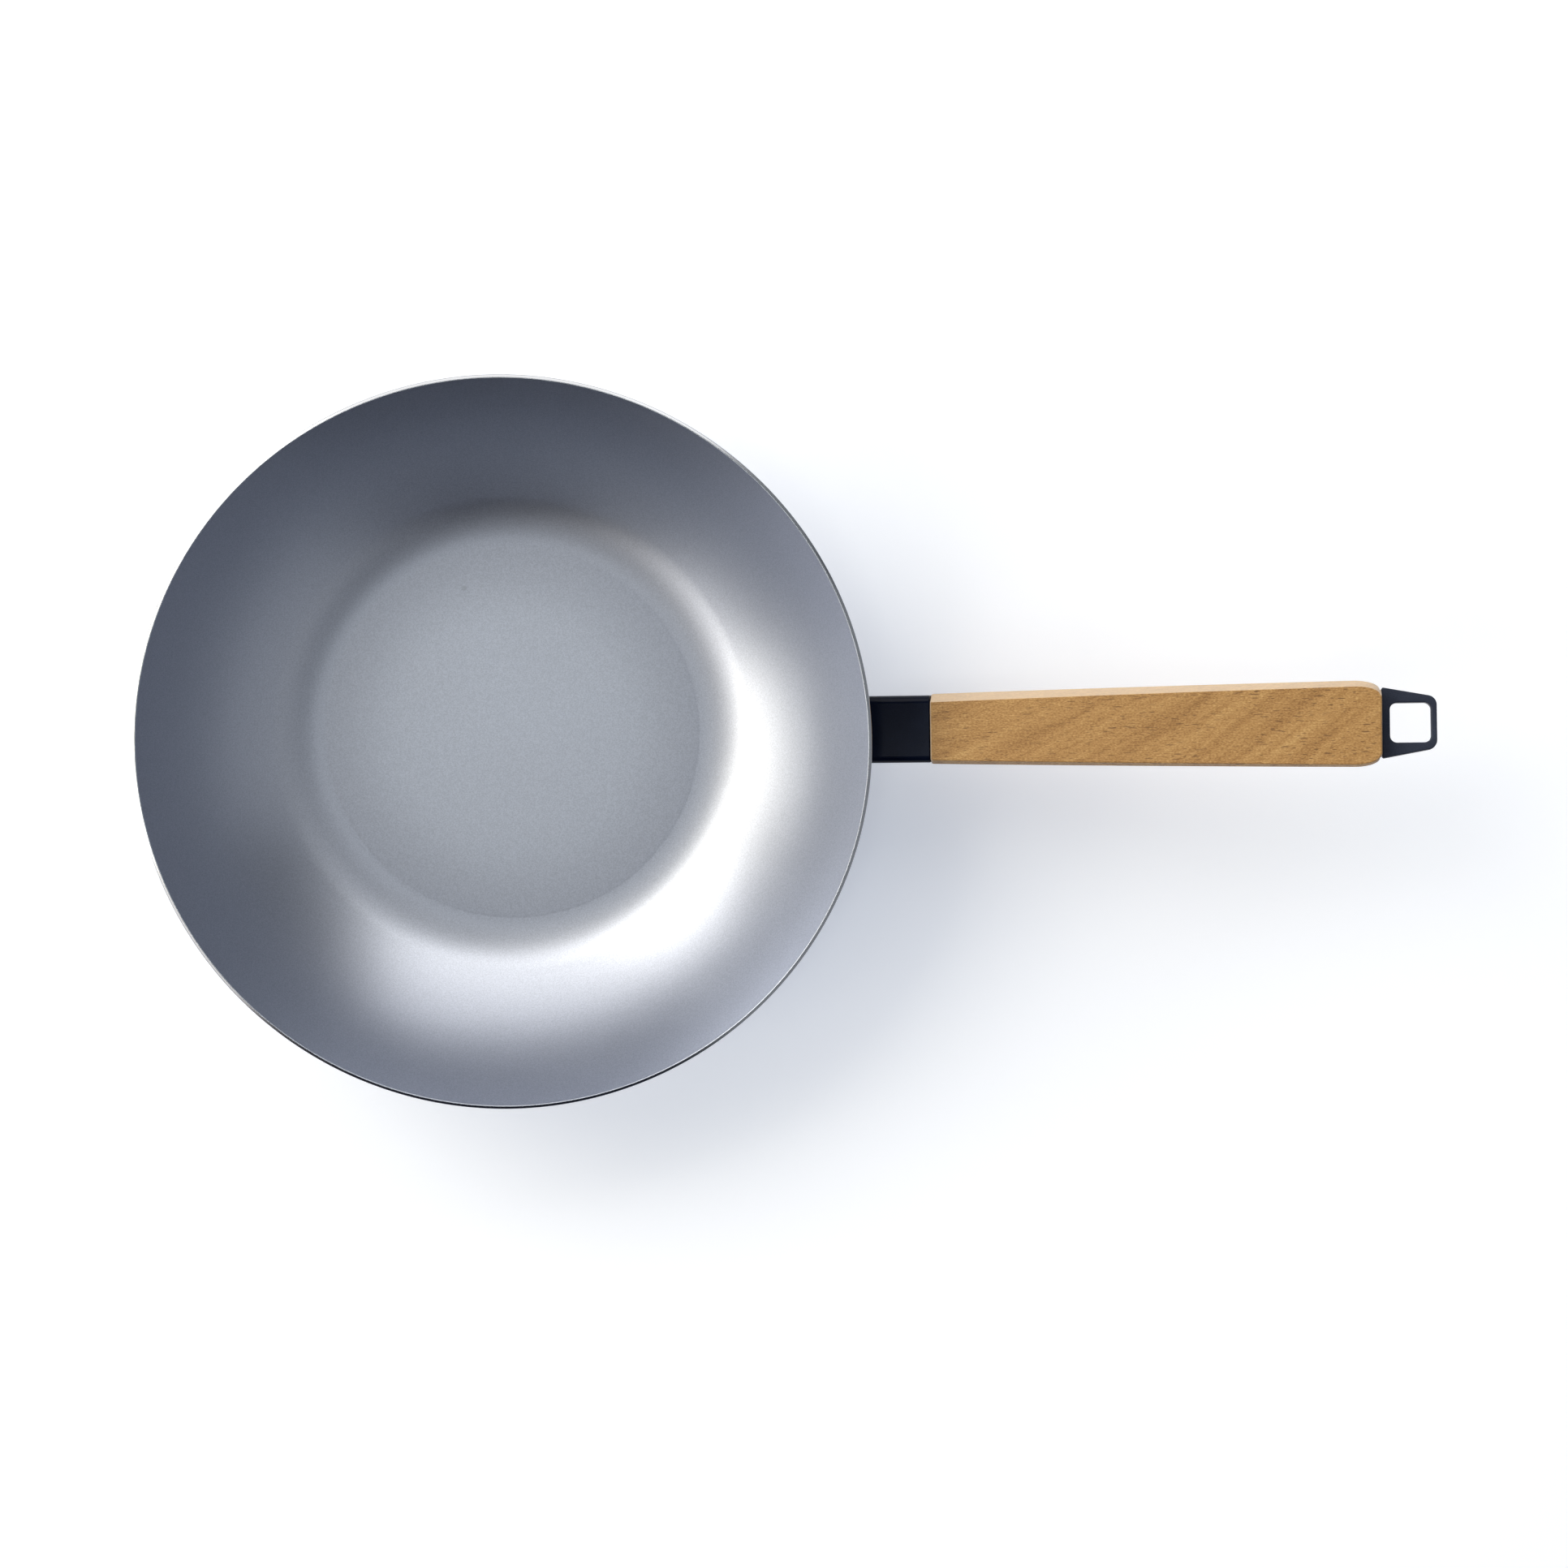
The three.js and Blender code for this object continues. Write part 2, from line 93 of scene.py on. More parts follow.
lean_x, lean_y, lean_z = (Matrix.Rotation(a, 4, axis) for a, axis in zip(CAMERA_LEAN, "XYZ"))
camera_data = bpy.data.cameras.new("overhead")
camera_data.lens = LENS
camera_data.sensor_width = SENSOR
camera = bpy.data.objects.new("overhead", camera_data)
camera.matrix_world = Matrix.Translation(CAMERA_PLACE * MM) @ lean_x @ lean_y @ lean_z
bpy.context.scene.collection.objects.link(camera)
bpy.context.scene.camera = camera
bpy.context.scene.view_settings.view_transform = "Standard"
print("camera at", short(camera.location))

# %% [markdown]
# ## Writing materials as sums
# A procedural finish is a sum of patterns, and sums are easier to read than wires. The class
# Field holds one socket of a node tree and turns +, -, *, ** and > into Math nodes. The class
# Finish holds one material, and its node method adds any other kind of node.

# %% A socket that can be added and multiplied


def operator(kind, reflected=False):
    def add_node(field, other):
        first, second = (other, field) if reflected else (field, other)
        return field.finish.node("ShaderNodeMath", {"operation": kind}, {0: first, 1: second})
    return add_node


class Field:
    def __init__(self, finish, socket):
        self.finish = finish
        self.socket = socket

    __add__ = __radd__ = operator("ADD")
    __sub__, __rsub__ = operator("SUBTRACT"), operator("SUBTRACT", True)
    __mul__ = __rmul__ = operator("MULTIPLY")
    __pow__, __rpow__ = operator("POWER"), operator("POWER", True)
    # Python reads 1 > field as field < 1, so the two comparisons reflect each other.
    __gt__, __lt__ = operator("GREATER_THAN"), operator("LESS_THAN")


# %% A material that takes nodes one at a time


class Finish:
    def __init__(self, name, **fixed):
        self.material = bpy.data.materials.new(name)
        self.material.use_nodes = True
        self.nodes = self.material.node_tree.nodes
        self.shader = self.nodes["Principled BSDF"]
        self.place = self.node("ShaderNodeTexCoord", {}, {}, "Object")
        for label, value in fixed.items():
            self.shader.inputs[label.replace("_", " ")].default_value = value

    def put(self, socket, value):
        if isinstance(value, Field):
            self.material.node_tree.links.new(value.socket, socket)
        else:
            socket.default_value = value

    def node(self, kind, settings, sockets, output=0):
        node = self.nodes.new(kind)
        for name, value in settings.items():
            if name == "stops":
                while len(node.color_ramp.elements) < len(value):
                    node.color_ramp.elements.new(1)
                for element, (position, colour) in zip(node.color_ramp.elements, value):
                    element.position = position
                    element.color = (*colour, 1)
            else:
                setattr(node, name, value)
        for name, value in sockets.items():
            self.put(node.inputs[name], value)
        return Field(self, node.outputs[output])

    def noise(self, size, detail, place=None, roughness=0.5):
        sockets = {"Vector": place or self.place, "Scale": 1 / (size * MM), "Detail": detail,
                   "Roughness": roughness}
        return self.node("ShaderNodeTexNoise", {}, sockets, "Fac")

    def part(self, place, axis):
        return self.node("ShaderNodeSeparateXYZ", {}, {"Vector": place}, axis)

    def mapped(self, place, **sockets):
        return self.node("ShaderNodeMapping", {"vector_type": "POINT"}, {"Vector": place, **sockets})

    def step(self, value, low, high, start=0, end=1, smooth=True):
        kind = "SMOOTHSTEP" if smooth else "LINEAR"
        sockets = {"Value": value, "From Min": low, "From Max": high, "To Min": start, "To Max": end}
        return self.node("ShaderNodeMapRange", {"interpolation_type": kind}, sockets, "Result")

    def mix(self, share, first, second):
        first, second = (x if isinstance(x, Field) else (*x, 1) for x in (first, second))
        sockets = {0: share, 6: first, 7: second}
        return self.node("ShaderNodeMix", {"data_type": "RGBA"}, sockets, 2)

    def cells(self, size, place=None):
        sockets = {"Vector": place or self.place, "Scale": 1 / (size * MM), "Randomness": 1.0}
        far = self.node("ShaderNodeTexVoronoi", {"feature": "F1"}, sockets, "Distance")
        draw = self.node("ShaderNodeTexVoronoi", {"feature": "F1"}, sockets, "Color")
        return far, self.part(draw, "X")

    def bump(self, height, depth, strength):
        sockets = {"Height": height, "Distance": depth * MM, "Strength": strength}
        return self.node("ShaderNodeBump", {}, sockets)

    def done(self, **linked):
        for name, value in linked.items():
            self.put(self.shader.inputs[name.replace("_", " ")], value)
        print("finish", self.material.name, "has", len(self.nodes), "nodes")
        return self.material


# %% [markdown]
# ## Bare steel
# The bowl is cold-rolled sheet, spun to shape and left bare. Close to, it shows a very fine
# speckle and no brush lines, with hardly a cloud in it, a few pits, one round stain on the base and
# a smoother band where the rim was cut. The speckle is two noises, at 0.5 and 1.3 mm. Painted
# shade makes the colour darker and bluer round the base's edge and towards the rim, which two steps
# on the radius give. The cut edge lies in one cone, so a single sum on radius and height finds it.

# %% Make the bare steel
BOWL_ROUGHNESS = 0.42
# Strength of the painted shade, darker and bluer, round the base's edge and towards the rim.
BASE_PAINTED_SHADE, RIM_PAINTED_SHADE = 0.10, 0.30
STAIN_PLACE = (-0.0185, 0.0626, 0.0018)
RIM_SLOPE = math.radians(62)
CUT_EDGE_PLACE = 148.41 * math.cos(RIM_SLOPE) + 65 * math.sin(RIM_SLOPE)


def make_bare_steel():
    steel = Finish("bare_steel", Metallic=1.0)
    x, y, z = (steel.part(steel.place, axis) for axis in "XYZ")
    radius = (x * x + y * y) ** 0.5
    along = radius * math.cos(RIM_SLOPE) + z * math.sin(RIM_SLOPE)
    edge = steel.step(along, (CUT_EDGE_PLACE - 0.3) * MM, (CUT_EDGE_PLACE - 0.1) * MM)
    fine = steel.noise(0.5, 1)
    coarse = steel.noise(1.3, 2)
    clouds = steel.noise(40, 2)
    tone = 0.5 + (fine - 0.5) * 3.0 + (coarse - 0.5) * 0.6 + (clouds - 0.5) * 0.22
    colour = steel.mix(tone, (0.508, 0.530, 0.585), (0.616, 0.641, 0.704))
    # Painted shade: round the base's edge and towards the rim the colour is mixed towards dark blue.
    ring = steel.step(radius, 0.046, 0.082) - steel.step(radius, 0.084, 0.104)
    painted_shade = ring * BASE_PAINTED_SHADE + steel.step(radius, 0.085, 0.150) * RIM_PAINTED_SHADE
    colour = steel.mix(painted_shade, colour, (0, 0.03, 0.13))
    pit_far, pit_draw = steel.cells(19)
    pits = steel.step(pit_far, 0.012, 0.024, 1, 0) * (pit_draw > 0.86)
    stain_far = steel.node("ShaderNodeVectorMath", {"operation": "DISTANCE"},
                           {0: steel.place, 1: STAIN_PLACE}, "Value")
    stain = steel.step(stain_far, 0.0006, 0.0016, 1, 0)
    colour = steel.mix(pits * 0.6, colour, (0.10, 0.10, 0.10))
    colour = steel.mix(stain * 0.22, colour, (0.16, 0.16, 0.18))
    colour = steel.mix(edge, colour, (0.43, 0.44, 0.46))
    rough = BOWL_ROUGHNESS + (coarse - 0.5) * 0.06 + (clouds - 0.5) * 0.04 + ring * 0.05 - edge * 0.14
    rough = rough - steel.step(radius, 0.090, 0.110) * 0.04 - steel.step(radius, 0.110, 0.150) * 0.03
    height = fine * 0.5 + coarse * 0.5 - pits * 2.5
    normal = steel.bump(height, 0.015, 0.25)
    return steel.done(Base_Color=colour, Roughness=rough, Normal=normal)


bare_steel = make_bare_steel()

# %% [markdown]
# ## Coated steel
# The neck, its weld and the saddle plate carry a blue-black baked coat. Such a coat dries with a
# faint orange peel, which breaks up the light along every bend, and it holds a little dust.

# %% Make the two coats


def make_coat(name, dark, pale, gloss, peel):
    coat = Finish(name, Metallic=0.0, IOR=1.45, Specular_IOR_Level=0.12)
    orange_peel = coat.noise(1.0, 2)
    grit = coat.noise(0.35, 1)
    clouds = coat.noise(18, 3)
    tone = coat.step(clouds + (grit - 0.5) * 0.8, 0.25, 0.75, smooth=False)
    colour = coat.mix(tone, dark, pale)
    dust_far, dust_draw = coat.cells(3.2)
    dust = coat.step(dust_far, 0.03, 0.06, 1, 0) * (dust_draw > 0.86)
    colour = coat.mix(dust * 0.35, colour, (0.16, 0.17, 0.19))
    rough = gloss + (clouds - 0.5) * 0.08 + (grit - 0.5) * 0.12 + dust * 0.2
    normal = coat.bump(orange_peel + grit * 0.4, 0.05, peel)
    return coat.done(Base_Color=colour, Roughness=rough, Normal=normal)


coated_steel = make_coat("coated_steel", (0.0016, 0.0032, 0.0100), (0.0036, 0.0066, 0.0190), 0.20, 0.25)
loop_coat = make_coat("loop_coat", (0.0220, 0.0270, 0.0420), (0.0380, 0.0450, 0.0680), 0.34, 0.22)

# %% [markdown]
# ## Bright steel
# The rod, nut, pins and washers are ordinary zinc-plated hardware. They sit inside the handle and
# show only when it is taken apart, so fine turning lines and a slightly yellow bloom are enough.

# %% Make the bright steel


def make_bright_steel():
    zinc = Finish("bright_steel", Metallic=1.0)
    local = zinc.mapped(zinc.place, Rotation=to_handle)
    lines = zinc.noise(1.0, 3, zinc.mapped(local, Scale=(6, 1, 1)))
    bloom = zinc.noise(6, 3)
    colour = zinc.mix(bloom, (0.47, 0.48, 0.50), (0.62, 0.61, 0.58))
    rough = 0.26 + bloom * 0.16 + (lines - 0.5) * 0.12
    normal = zinc.bump(lines, 0.02, 0.4)
    return zinc.done(Base_Color=colour, Roughness=rough, Normal=normal)


bright_steel = make_bright_steel()

# %% [markdown]
# ## Beech
# Beech is known by its flecks: short dark dashes, two or three millimetres long, that all run with
# the grain. Under them lie broad growth bands, which cross this grip on a slant, because the board
# was cut at an angle to the rings. Two Mapping nodes take the pattern from the wok's frame to the
# handle's, so the grain follows the wood. The faces of the lit side and the bevel at the front get a
# painted highlight: a mix towards pale cream, with fewer flecks. They say so themselves, through an
# attribute that the grip's cell writes.

# %% Make the beech


def make_beech():
    wood = Finish("beech", Metallic=0.0, IOR=1.5, Sheen_Weight=0.25)
    start = handle_turn.inverted() @ (HANDLE_START * MM)
    local = wood.mapped(wood.mapped(wood.place, Rotation=to_handle), Location=tuple(-start))
    x, y, z = (wood.part(local, axis) for axis in "XYZ")
    # The bands climb across the grip, more steeply towards the back.
    wander = wood.noise(38, 2, wood.mapped(local, Scale=(0.6, 1, 1)))
    across = y - x * 0.32 - x * x * 1.5 - z * 0.7 + (wander - 0.5) * 0.010
    banded = wood.node("ShaderNodeCombineXYZ", {}, {"X": across, "Y": x * 0.10, "Z": z * 0.2})
    broad = wood.noise(9, 1, banded)
    narrow = wood.noise(2.8, 2, banded)
    fibre = wood.noise(0.55, 2, wood.mapped(local, Scale=(0.10, 1, 1)), 0.6)
    speck = wood.noise(0.5, 1, wood.mapped(local, Scale=(0.5, 1, 1)))
    tone = 0.5 + (broad - 0.5) * 0.45 + (narrow - 0.5) * 0.55
    tone = tone + (fibre - 0.5) * 0.60 + (speck - 0.5) * 1.10
    colour = wood.node("ShaderNodeValToRGB", {"stops": [
        (0.15, (0.250, 0.118, 0.030)),
        (0.42, (0.380, 0.198, 0.058)),
        (0.60, (0.448, 0.248, 0.080)),
        (0.90, (0.580, 0.356, 0.132)),
    ]}, {"Fac": tone}, "Color")
    flecks = dashes(wood, local, 0.85, 0.20, 0.30) + dashes(wood, local, 1.2, 0.14, 0.42)
    patches = wood.noise(11, 2, wood.mapped(local, Scale=(0.5, 1, 1)))
    flecks = flecks * wood.step(patches, 0.26, 0.56)
    # Painted highlight: the lit side's faces and the front bevel are mixed towards pale cream.
    pale = wood.node("ShaderNodeAttribute", {"attribute_name": "pale_edge"}, {}, "Fac")
    flecks = flecks * wood.step(x, 0.02, 0.17, 0.60, 1) * (1 - pale * 0.4)
    colour = wood.mix(flecks * 0.78, colour, (0.115, 0.047, 0.013))
    colour = wood.mix(pale * 0.55, colour, (0.765, 0.615, 0.450))
    rough = 0.46 + (fibre - 0.5) * 0.2 + flecks * 0.15
    normal = wood.bump(fibre * 0.5 + speck * 0.3 - flecks * 1.2, 0.08, 0.40)
    return wood.done(Base_Color=colour, Roughness=rough, Normal=normal)


def dashes(wood, local, size, squeeze, share):
    far, draw = wood.cells(size, wood.mapped(local, Scale=(squeeze, 1, 0.2)))
    return wood.step(far, 0.15, 0.27, 1, 0) * (draw > share)


beech = make_beech()

# %% [markdown]
# ## From mesh to piece
# Every piece ends the same way: its faces point outwards, its edges are shaded smooth below a
# chosen angle, and it takes the place of its solid. Weighted normals keep the broad flats flat
# beside their narrow rounded edges.

# %% Turn a bmesh into a finished piece


def plain_mesh(piece):
    shown = piece.evaluated_get(bpy.context.evaluated_depsgraph_get())
    mesh = bpy.data.meshes.new_from_object(shown)
    piece.modifiers.clear()
    piece.data = mesh


def new_piece(name, mesh):
    piece = bpy.data.objects.new(name, mesh)
    bpy.context.scene.collection.objects.link(piece)
    return piece


def finish_piece(piece, material, body, node, sharp=40):
    work = bmesh.new()
    work.from_mesh(piece.data)
    bmesh.ops.remove_doubles(work, verts=work.verts, dist=1e-7)
    bmesh.ops.recalc_face_normals(work, faces=work.faces)
    open_edges = sum(not edge.is_manifold for edge in work.edges)
    work.to_mesh(piece.data)
    work.free()
    piece.data.materials.clear()
    piece.data.materials.append(material)
    piece.data.shade_smooth()
    piece.data.set_sharp_from_angle(angle=math.radians(sharp))
    piece.modifiers.new("even", "WEIGHTED_NORMAL").keep_sharp = True
    plain_mesh(piece)
    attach(piece, body)
    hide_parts(node)
    print(piece.name, "has", len(piece.data.polygons), "faces and", open_edges, "open edges")
    return piece


# %% [markdown]
# ## A lathe in Geometry Nodes
# The bowl was spun and most of the hardware was turned, so one node tree serves them all. Its
# input is a section: a chain of points in the XZ plane. A grid has one row for each point of the
# section and one column for each step round the axis. Each grid point looks its row up in the
# section and turns it by its column. A thread is the same surface with its radius cut by a
# triangle wave that climbs one pitch in each turn.

# %% Build the lathe tree


class Tree:
    def __init__(self, name, inputs):
        self.group = bpy.data.node_groups.new(name, "GeometryNodeTree")
        sockets = self.group.interface
        sockets.new_socket("Geometry", in_out="INPUT", socket_type="NodeSocketGeometry")
        for label, kind in inputs:
            sockets.new_socket(label, in_out="INPUT", socket_type="NodeSocket" + kind)
        sockets.new_socket("Geometry", in_out="OUTPUT", socket_type="NodeSocketGeometry")
        self.source = self.group.nodes.new("NodeGroupInput")
        self.sink = self.group.nodes.new("NodeGroupOutput")

    def input(self, label):
        return self.source.outputs[label]

    def node(self, kind, settings, sockets, output=0):
        node = self.group.nodes.new(kind)
        for name, value in settings.items():
            setattr(node, name, value)
        for name, value in sockets.items():
            if isinstance(value, bpy.types.NodeSocket):
                self.group.links.new(value, node.inputs[name])
            else:
                node.inputs[name].default_value = value
        return node.outputs[output]

    def maths(self, operation, first, second=0.0):
        return self.node("ShaderNodeMath", {"operation": operation}, {0: first, 1: second})

    def whole(self, operation, first, second):
        return self.node("FunctionNodeIntegerMath", {"operation": operation}, {0: first, 1: second})

    def end(self, geometry):
        made = self.node("GeometryNodeRealizeInstances", {}, {"Geometry": geometry})
        sockets = {"Geometry": made, "Material": self.input("Material")}
        made = self.node("GeometryNodeSetMaterial", {}, sockets)
        self.group.links.new(made, self.sink.inputs["Geometry"])
        print("tree", self.group.name, "has", len(self.group.nodes), "nodes")
        return self.group


def run_tree(group, mesh, name, **values):
    piece = new_piece(name, mesh)
    modifier = piece.modifiers.new(group.name, "NODES")
    modifier.node_group = group
    labels = {item.name: item.identifier for item in group.interface.items_tree
              if item.in_out == "INPUT"}
    for label, value in values.items():
        modifier[labels[label.replace("_", " ")]] = value
    plain_mesh(piece)
    return piece


def make_lathe_tree():
    tree = Tree("lathe", [("Segments", "Int"), ("Thread Pitch", "Float"), ("Thread Depth", "Float"),
                          ("Thread End", "Float"), ("Material", "Material")])
    section = tree.input("Geometry")
    segments = tree.input("Segments")
    rows = tree.node("GeometryNodeAttributeDomainSize", {"component": "MESH"}, {0: section})
    columns = tree.whole("ADD", segments, 1)
    grid = tree.node("GeometryNodeMeshGrid", {}, {"Vertices X": columns, "Vertices Y": rows})
    index = tree.node("GeometryNodeInputIndex", {}, {})
    row = tree.whole("MODULO", index, rows)
    column = tree.whole("DIVIDE_FLOOR", index, rows)
    position = tree.node("GeometryNodeInputPosition", {}, {})
    sample = {"data_type": "FLOAT_VECTOR", "domain": "POINT"}
    point = tree.node("GeometryNodeSampleIndex", sample,
                      {"Geometry": section, "Value": position, "Index": row})
    share = tree.maths("DIVIDE", column, segments)
    angle = tree.maths("MULTIPLY", share, 2 * math.pi)
    parts = tree.node("ShaderNodeSeparateXYZ", {}, {"Vector": point}, "X").node
    height = parts.outputs["Z"]
    turns = tree.maths("SUBTRACT", tree.maths("DIVIDE", height, tree.input("Thread Pitch")), share)
    wave = tree.maths("PINGPONG", turns, 0.5)
    threaded = tree.maths("LESS_THAN", height, tree.input("Thread End"))
    cut = tree.maths("MULTIPLY", tree.maths("MULTIPLY", wave, 2.0), tree.input("Thread Depth"))
    cut = tree.maths("MULTIPLY", cut, threaded)
    radius = tree.maths("MAXIMUM", tree.maths("SUBTRACT", parts.outputs["X"], cut), 0.0)
    flat = tree.node("ShaderNodeCombineXYZ", {}, {"X": radius, "Z": height})
    turned = tree.node("ShaderNodeVectorRotate", {"rotation_type": "Z_AXIS"},
                       {"Vector": flat, "Angle": angle})
    spun = tree.node("GeometryNodeSetPosition", {}, {"Geometry": grid, "Position": turned})
    closed = tree.node("GeometryNodeMergeByDistance", {}, {"Geometry": spun, "Distance": 1e-6})
    return tree.end(closed)


lathe_tree = make_lathe_tree()


def chain(points, closed=False):
    mesh = bpy.data.meshes.new("chain")
    edges = [(i, i + 1) for i in range(len(points) - 1)]
    if closed:
        edges.append((len(points) - 1, 0))
    mesh.from_pydata(points, edges, [])
    return mesh


def turn_piece(name, points, segments, material, place=None, thread=(1, 0, 0)):
    pitch, depth, end = thread
    section = chain([(r * MM, 0, z * MM) for r, z in points])
    piece = run_tree(lathe_tree, section, name, Segments=segments, Material=material,
                     Thread_Pitch=pitch * MM, Thread_Depth=depth * MM, Thread_End=end * MM)
    if place:
        piece.data.transform(place @ Matrix.Scale(1 / MM, 4))
    return piece


# %% [markdown]
# ## The bowl
# The section is a flat base, a corner of 36 mm radius that turns up to 38 degrees, and a wall
# that goes on turning, more slowly, to 62 degrees at the rim. Written by the distance along the
# sheet, that is one short function. The spinning tool left two fine lines, one where the base
# ends and one high on the wall, and the cut rim has its burrs taken off.

# %% Work out the bowl's section
SHEET = 1.8
CORNER_RADIUS = 36
CORNER_SLOPE = math.radians(38)
WALL_RADIUS = 174.45
BASE_RADIUS = 79.62
CORNER_LENGTH = CORNER_RADIUS * CORNER_SLOPE
WALL_LENGTH = WALL_RADIUS * (RIM_SLOPE - CORNER_SLOPE)
RIM_PLACE = BASE_RADIUS + CORNER_LENGTH + WALL_LENGTH
WALL_CENTRE = Vector((-5.617, 146.898))
RIM_ROUND, RIM_STEPS = 0.45, 4
# The base is flat up to here, so its rows lie far apart.
FINE_FROM = 78
# Each tool line has its distance along the sheet, its depth and its width.
TOOL_LINES = [(BASE_RADIUS + 0.4, 0.022, 0.45), (BASE_RADIUS + 55.8, 0.008, 0.7)]


def sheet_point(distance, out):
    on_corner = min(max(distance - BASE_RADIUS, 0), CORNER_LENGTH) / CORNER_RADIUS
    on_wall = max(distance - BASE_RADIUS - CORNER_LENGTH, 0) / WALL_RADIUS
    slope = on_corner + on_wall
    r = min(distance, BASE_RADIUS) + CORNER_RADIUS * math.sin(on_corner)
    r += WALL_RADIUS * (math.sin(CORNER_SLOPE + on_wall) - math.sin(CORNER_SLOPE))
    z = SHEET + CORNER_RADIUS * (1 - math.cos(on_corner))
    z += WALL_RADIUS * (math.cos(CORNER_SLOPE) - math.cos(CORNER_SLOPE + on_wall))
    return r + out * math.sin(slope), z - out * math.cos(slope)


def tool_depth(distance):
    return sum(depth * math.exp(-(((distance - at) / width) ** 2)) for at, depth, width in TOOL_LINES)


def spread(first, last, count):
    return [first + (last - first) * i / count for i in range(count)]


def quarter(steps):
    turns = [math.pi / 2 * i / steps for i in range(steps + 1)]
    return [(math.sin(turn), math.cos(turn)) for turn in turns]


def bowl_section():
    corner_end = BASE_RADIUS + CORNER_LENGTH
    places = spread(0, FINE_FROM, 10) + spread(FINE_FROM, corner_end, 60)
    places += spread(corner_end, RIM_PLACE - RIM_ROUND, 64)
    inside = [sheet_point(s, tool_depth(s)) for s in places]
    rim = []
    for sine, cosine in quarter(RIM_STEPS):
        rim.append(sheet_point(RIM_PLACE - RIM_ROUND * (1 - sine), RIM_ROUND * (1 - cosine)))
    for sine, cosine in quarter(RIM_STEPS):
        rim.append(sheet_point(RIM_PLACE - RIM_ROUND * (1 - cosine), SHEET - RIM_ROUND * (1 - sine)))
    outside = [sheet_point(s, SHEET) for s in reversed(spread(0, RIM_PLACE - RIM_ROUND, 72))]
    return inside + rim + outside


bowl_points = bowl_section()
print("the rim is", round(2 * max(r for r, z in bowl_points), 2), "mm across and",
      round(max(z for r, z in bowl_points), 2), "mm high")

# %% Spin the bowl
BOWL_SEGMENTS = 288
bowl = turn_piece("bowl", bowl_points, BOWL_SEGMENTS, bare_steel)
finish_piece(bowl, bare_steel, "pan", "wok_bowl", 50)

# %% [markdown]
# ## Places on the wall
# The saddle plate, its welds and the neck all sit on the curved wall. A point there is found in
# two steps: go across and up in the flat plane that touches the wall at the neck, then along that
# plane's normal until the distance from the sheet is right.

# %% Find points on the wall


def wall_distance(point):
    r = math.hypot(point.x, point.y) - WALL_CENTRE.x
    return math.hypot(r, point.z - WALL_CENTRE.y) - WALL_RADIUS - SHEET


NUDGE = 0.01


def reach(start, direction, distance):
    travel = 0.0
    for _ in range(30):
        gap = wall_distance(start + direction * travel) - distance
        ahead = wall_distance(start + direction * (travel + NUDGE)) - distance
        travel -= gap * NUDGE / (ahead - gap)
    return start + direction * travel


handle_line = Vector((math.cos(HANDLE_RISE), 0, math.sin(HANDLE_RISE)))
seat = reach(HANDLE_START, handle_line, 0)
seat_slope = math.atan2(seat.x - WALL_CENTRE.x, WALL_CENTRE.y - seat.z)
seat_out = Vector((math.sin(seat_slope), 0, -math.cos(seat_slope)))
seat_up = Vector((math.cos(seat_slope), 0, math.sin(seat_slope)))


def on_wall(across, up, distance):
    start = seat + Vector((0, across, 0)) + seat_up * up
    return reach(start, seat_out, distance) * MM


print("the neck meets the wall at", short(seat), "mm, where it slopes",
      round(math.degrees(seat_slope), 1), "degrees")

# %% [markdown]
# ## Plates with rounded edges
# The saddle, the end plate, the nut and the loop are all plates with holes. One function makes
# them: it takes flat outlines, a thickness and a rule that places a flat point in space. Rings of
# points run round every outline, drawn in at the faces so that the edges are round, and a
# triangulation fills the two faces.

# %% Outlines, rings and plates


def rounded_outline(corners, steps):
    points = []
    for i, (x, y, radius) in enumerate(corners):
        corner = Vector((x, y))
        before = (Vector(corners[i - 1][:2]) - corner).normalized()
        after = (Vector(corners[(i + 1) % len(corners)][:2]) - corner).normalized()
        half = before.angle(after) / 2
        centre = corner + (before + after).normalized() * (radius / math.sin(half))
        first = corner + before * (radius / math.tan(half)) - centre
        last = corner + after * (radius / math.tan(half)) - centre
        sweep = first.angle_signed(last)
        for k in range(steps + 1):
            turn = Matrix.Rotation(-sweep * k / steps, 2)
            points.append(centre + turn @ first)
    return points


CORNERS = [(1, 1), (-1, 1), (-1, -1), (1, -1)]


def rounded_rectangle(width, height, radius, steps=6):
    return rounded_outline([(a * width / 2, b * height / 2, radius) for a, b in CORNERS], steps)


def circle(diameter, x=0.0, y=0.0, steps=32):
    turns = [2 * math.pi * i / steps for i in range(steps)]
    return [Vector((x + diameter / 2 * math.cos(a), y + diameter / 2 * math.sin(a))) for a in turns]


def drawn_in(outline, amount):
    count = len(outline)
    points = []
    for i, point in enumerate(outline):
        along = (outline[(i + 1) % count] - outline[i - 1]).normalized()
        points.append(point + Vector((-along.y, along.x)) * amount)
    return points


def bridge(work, first, second):
    for i in range(len(first)):
        j = (i + 1) % len(first)
        work.faces.new((first[i], first[j], second[j], second[i]))


def skin(work, rings):
    for before, after in zip(rings, rings[1:]):
        bridge(work, before, after)


def within(point, outline):
    inside = False
    for i, end in enumerate(outline):
        start = outline[i - 1]
        if (start.y > point.y) != (end.y > point.y):
            share = (point.y - start.y) / (end.y - start.y)
            inside ^= point.x < start.x + share * (end.x - start.x)
    return inside


def cap(work, rings, flats, extra=()):
    vertices = [v for ring in rings for v in ring] + [v for v, _ in extra]
    points = [p for flat in flats for p in flat] + [p for _, p in extra]
    edges = []
    for flat in flats:
        start = len(edges)
        edges += [(start + i, start + (i + 1) % len(flat)) for i in range(len(flat))]
    found, _, triangles, origins, _, _ = delaunay_2d_cdt(points, edges, [], 1, 1e-6)
    for triangle in triangles:
        middle = sum((found[i] for i in triangle), Vector((0, 0))) / 3
        if not any(within(middle, flat) for flat in flats[1:]):
            work.faces.new([vertices[origins[i][0]] for i in triangle])


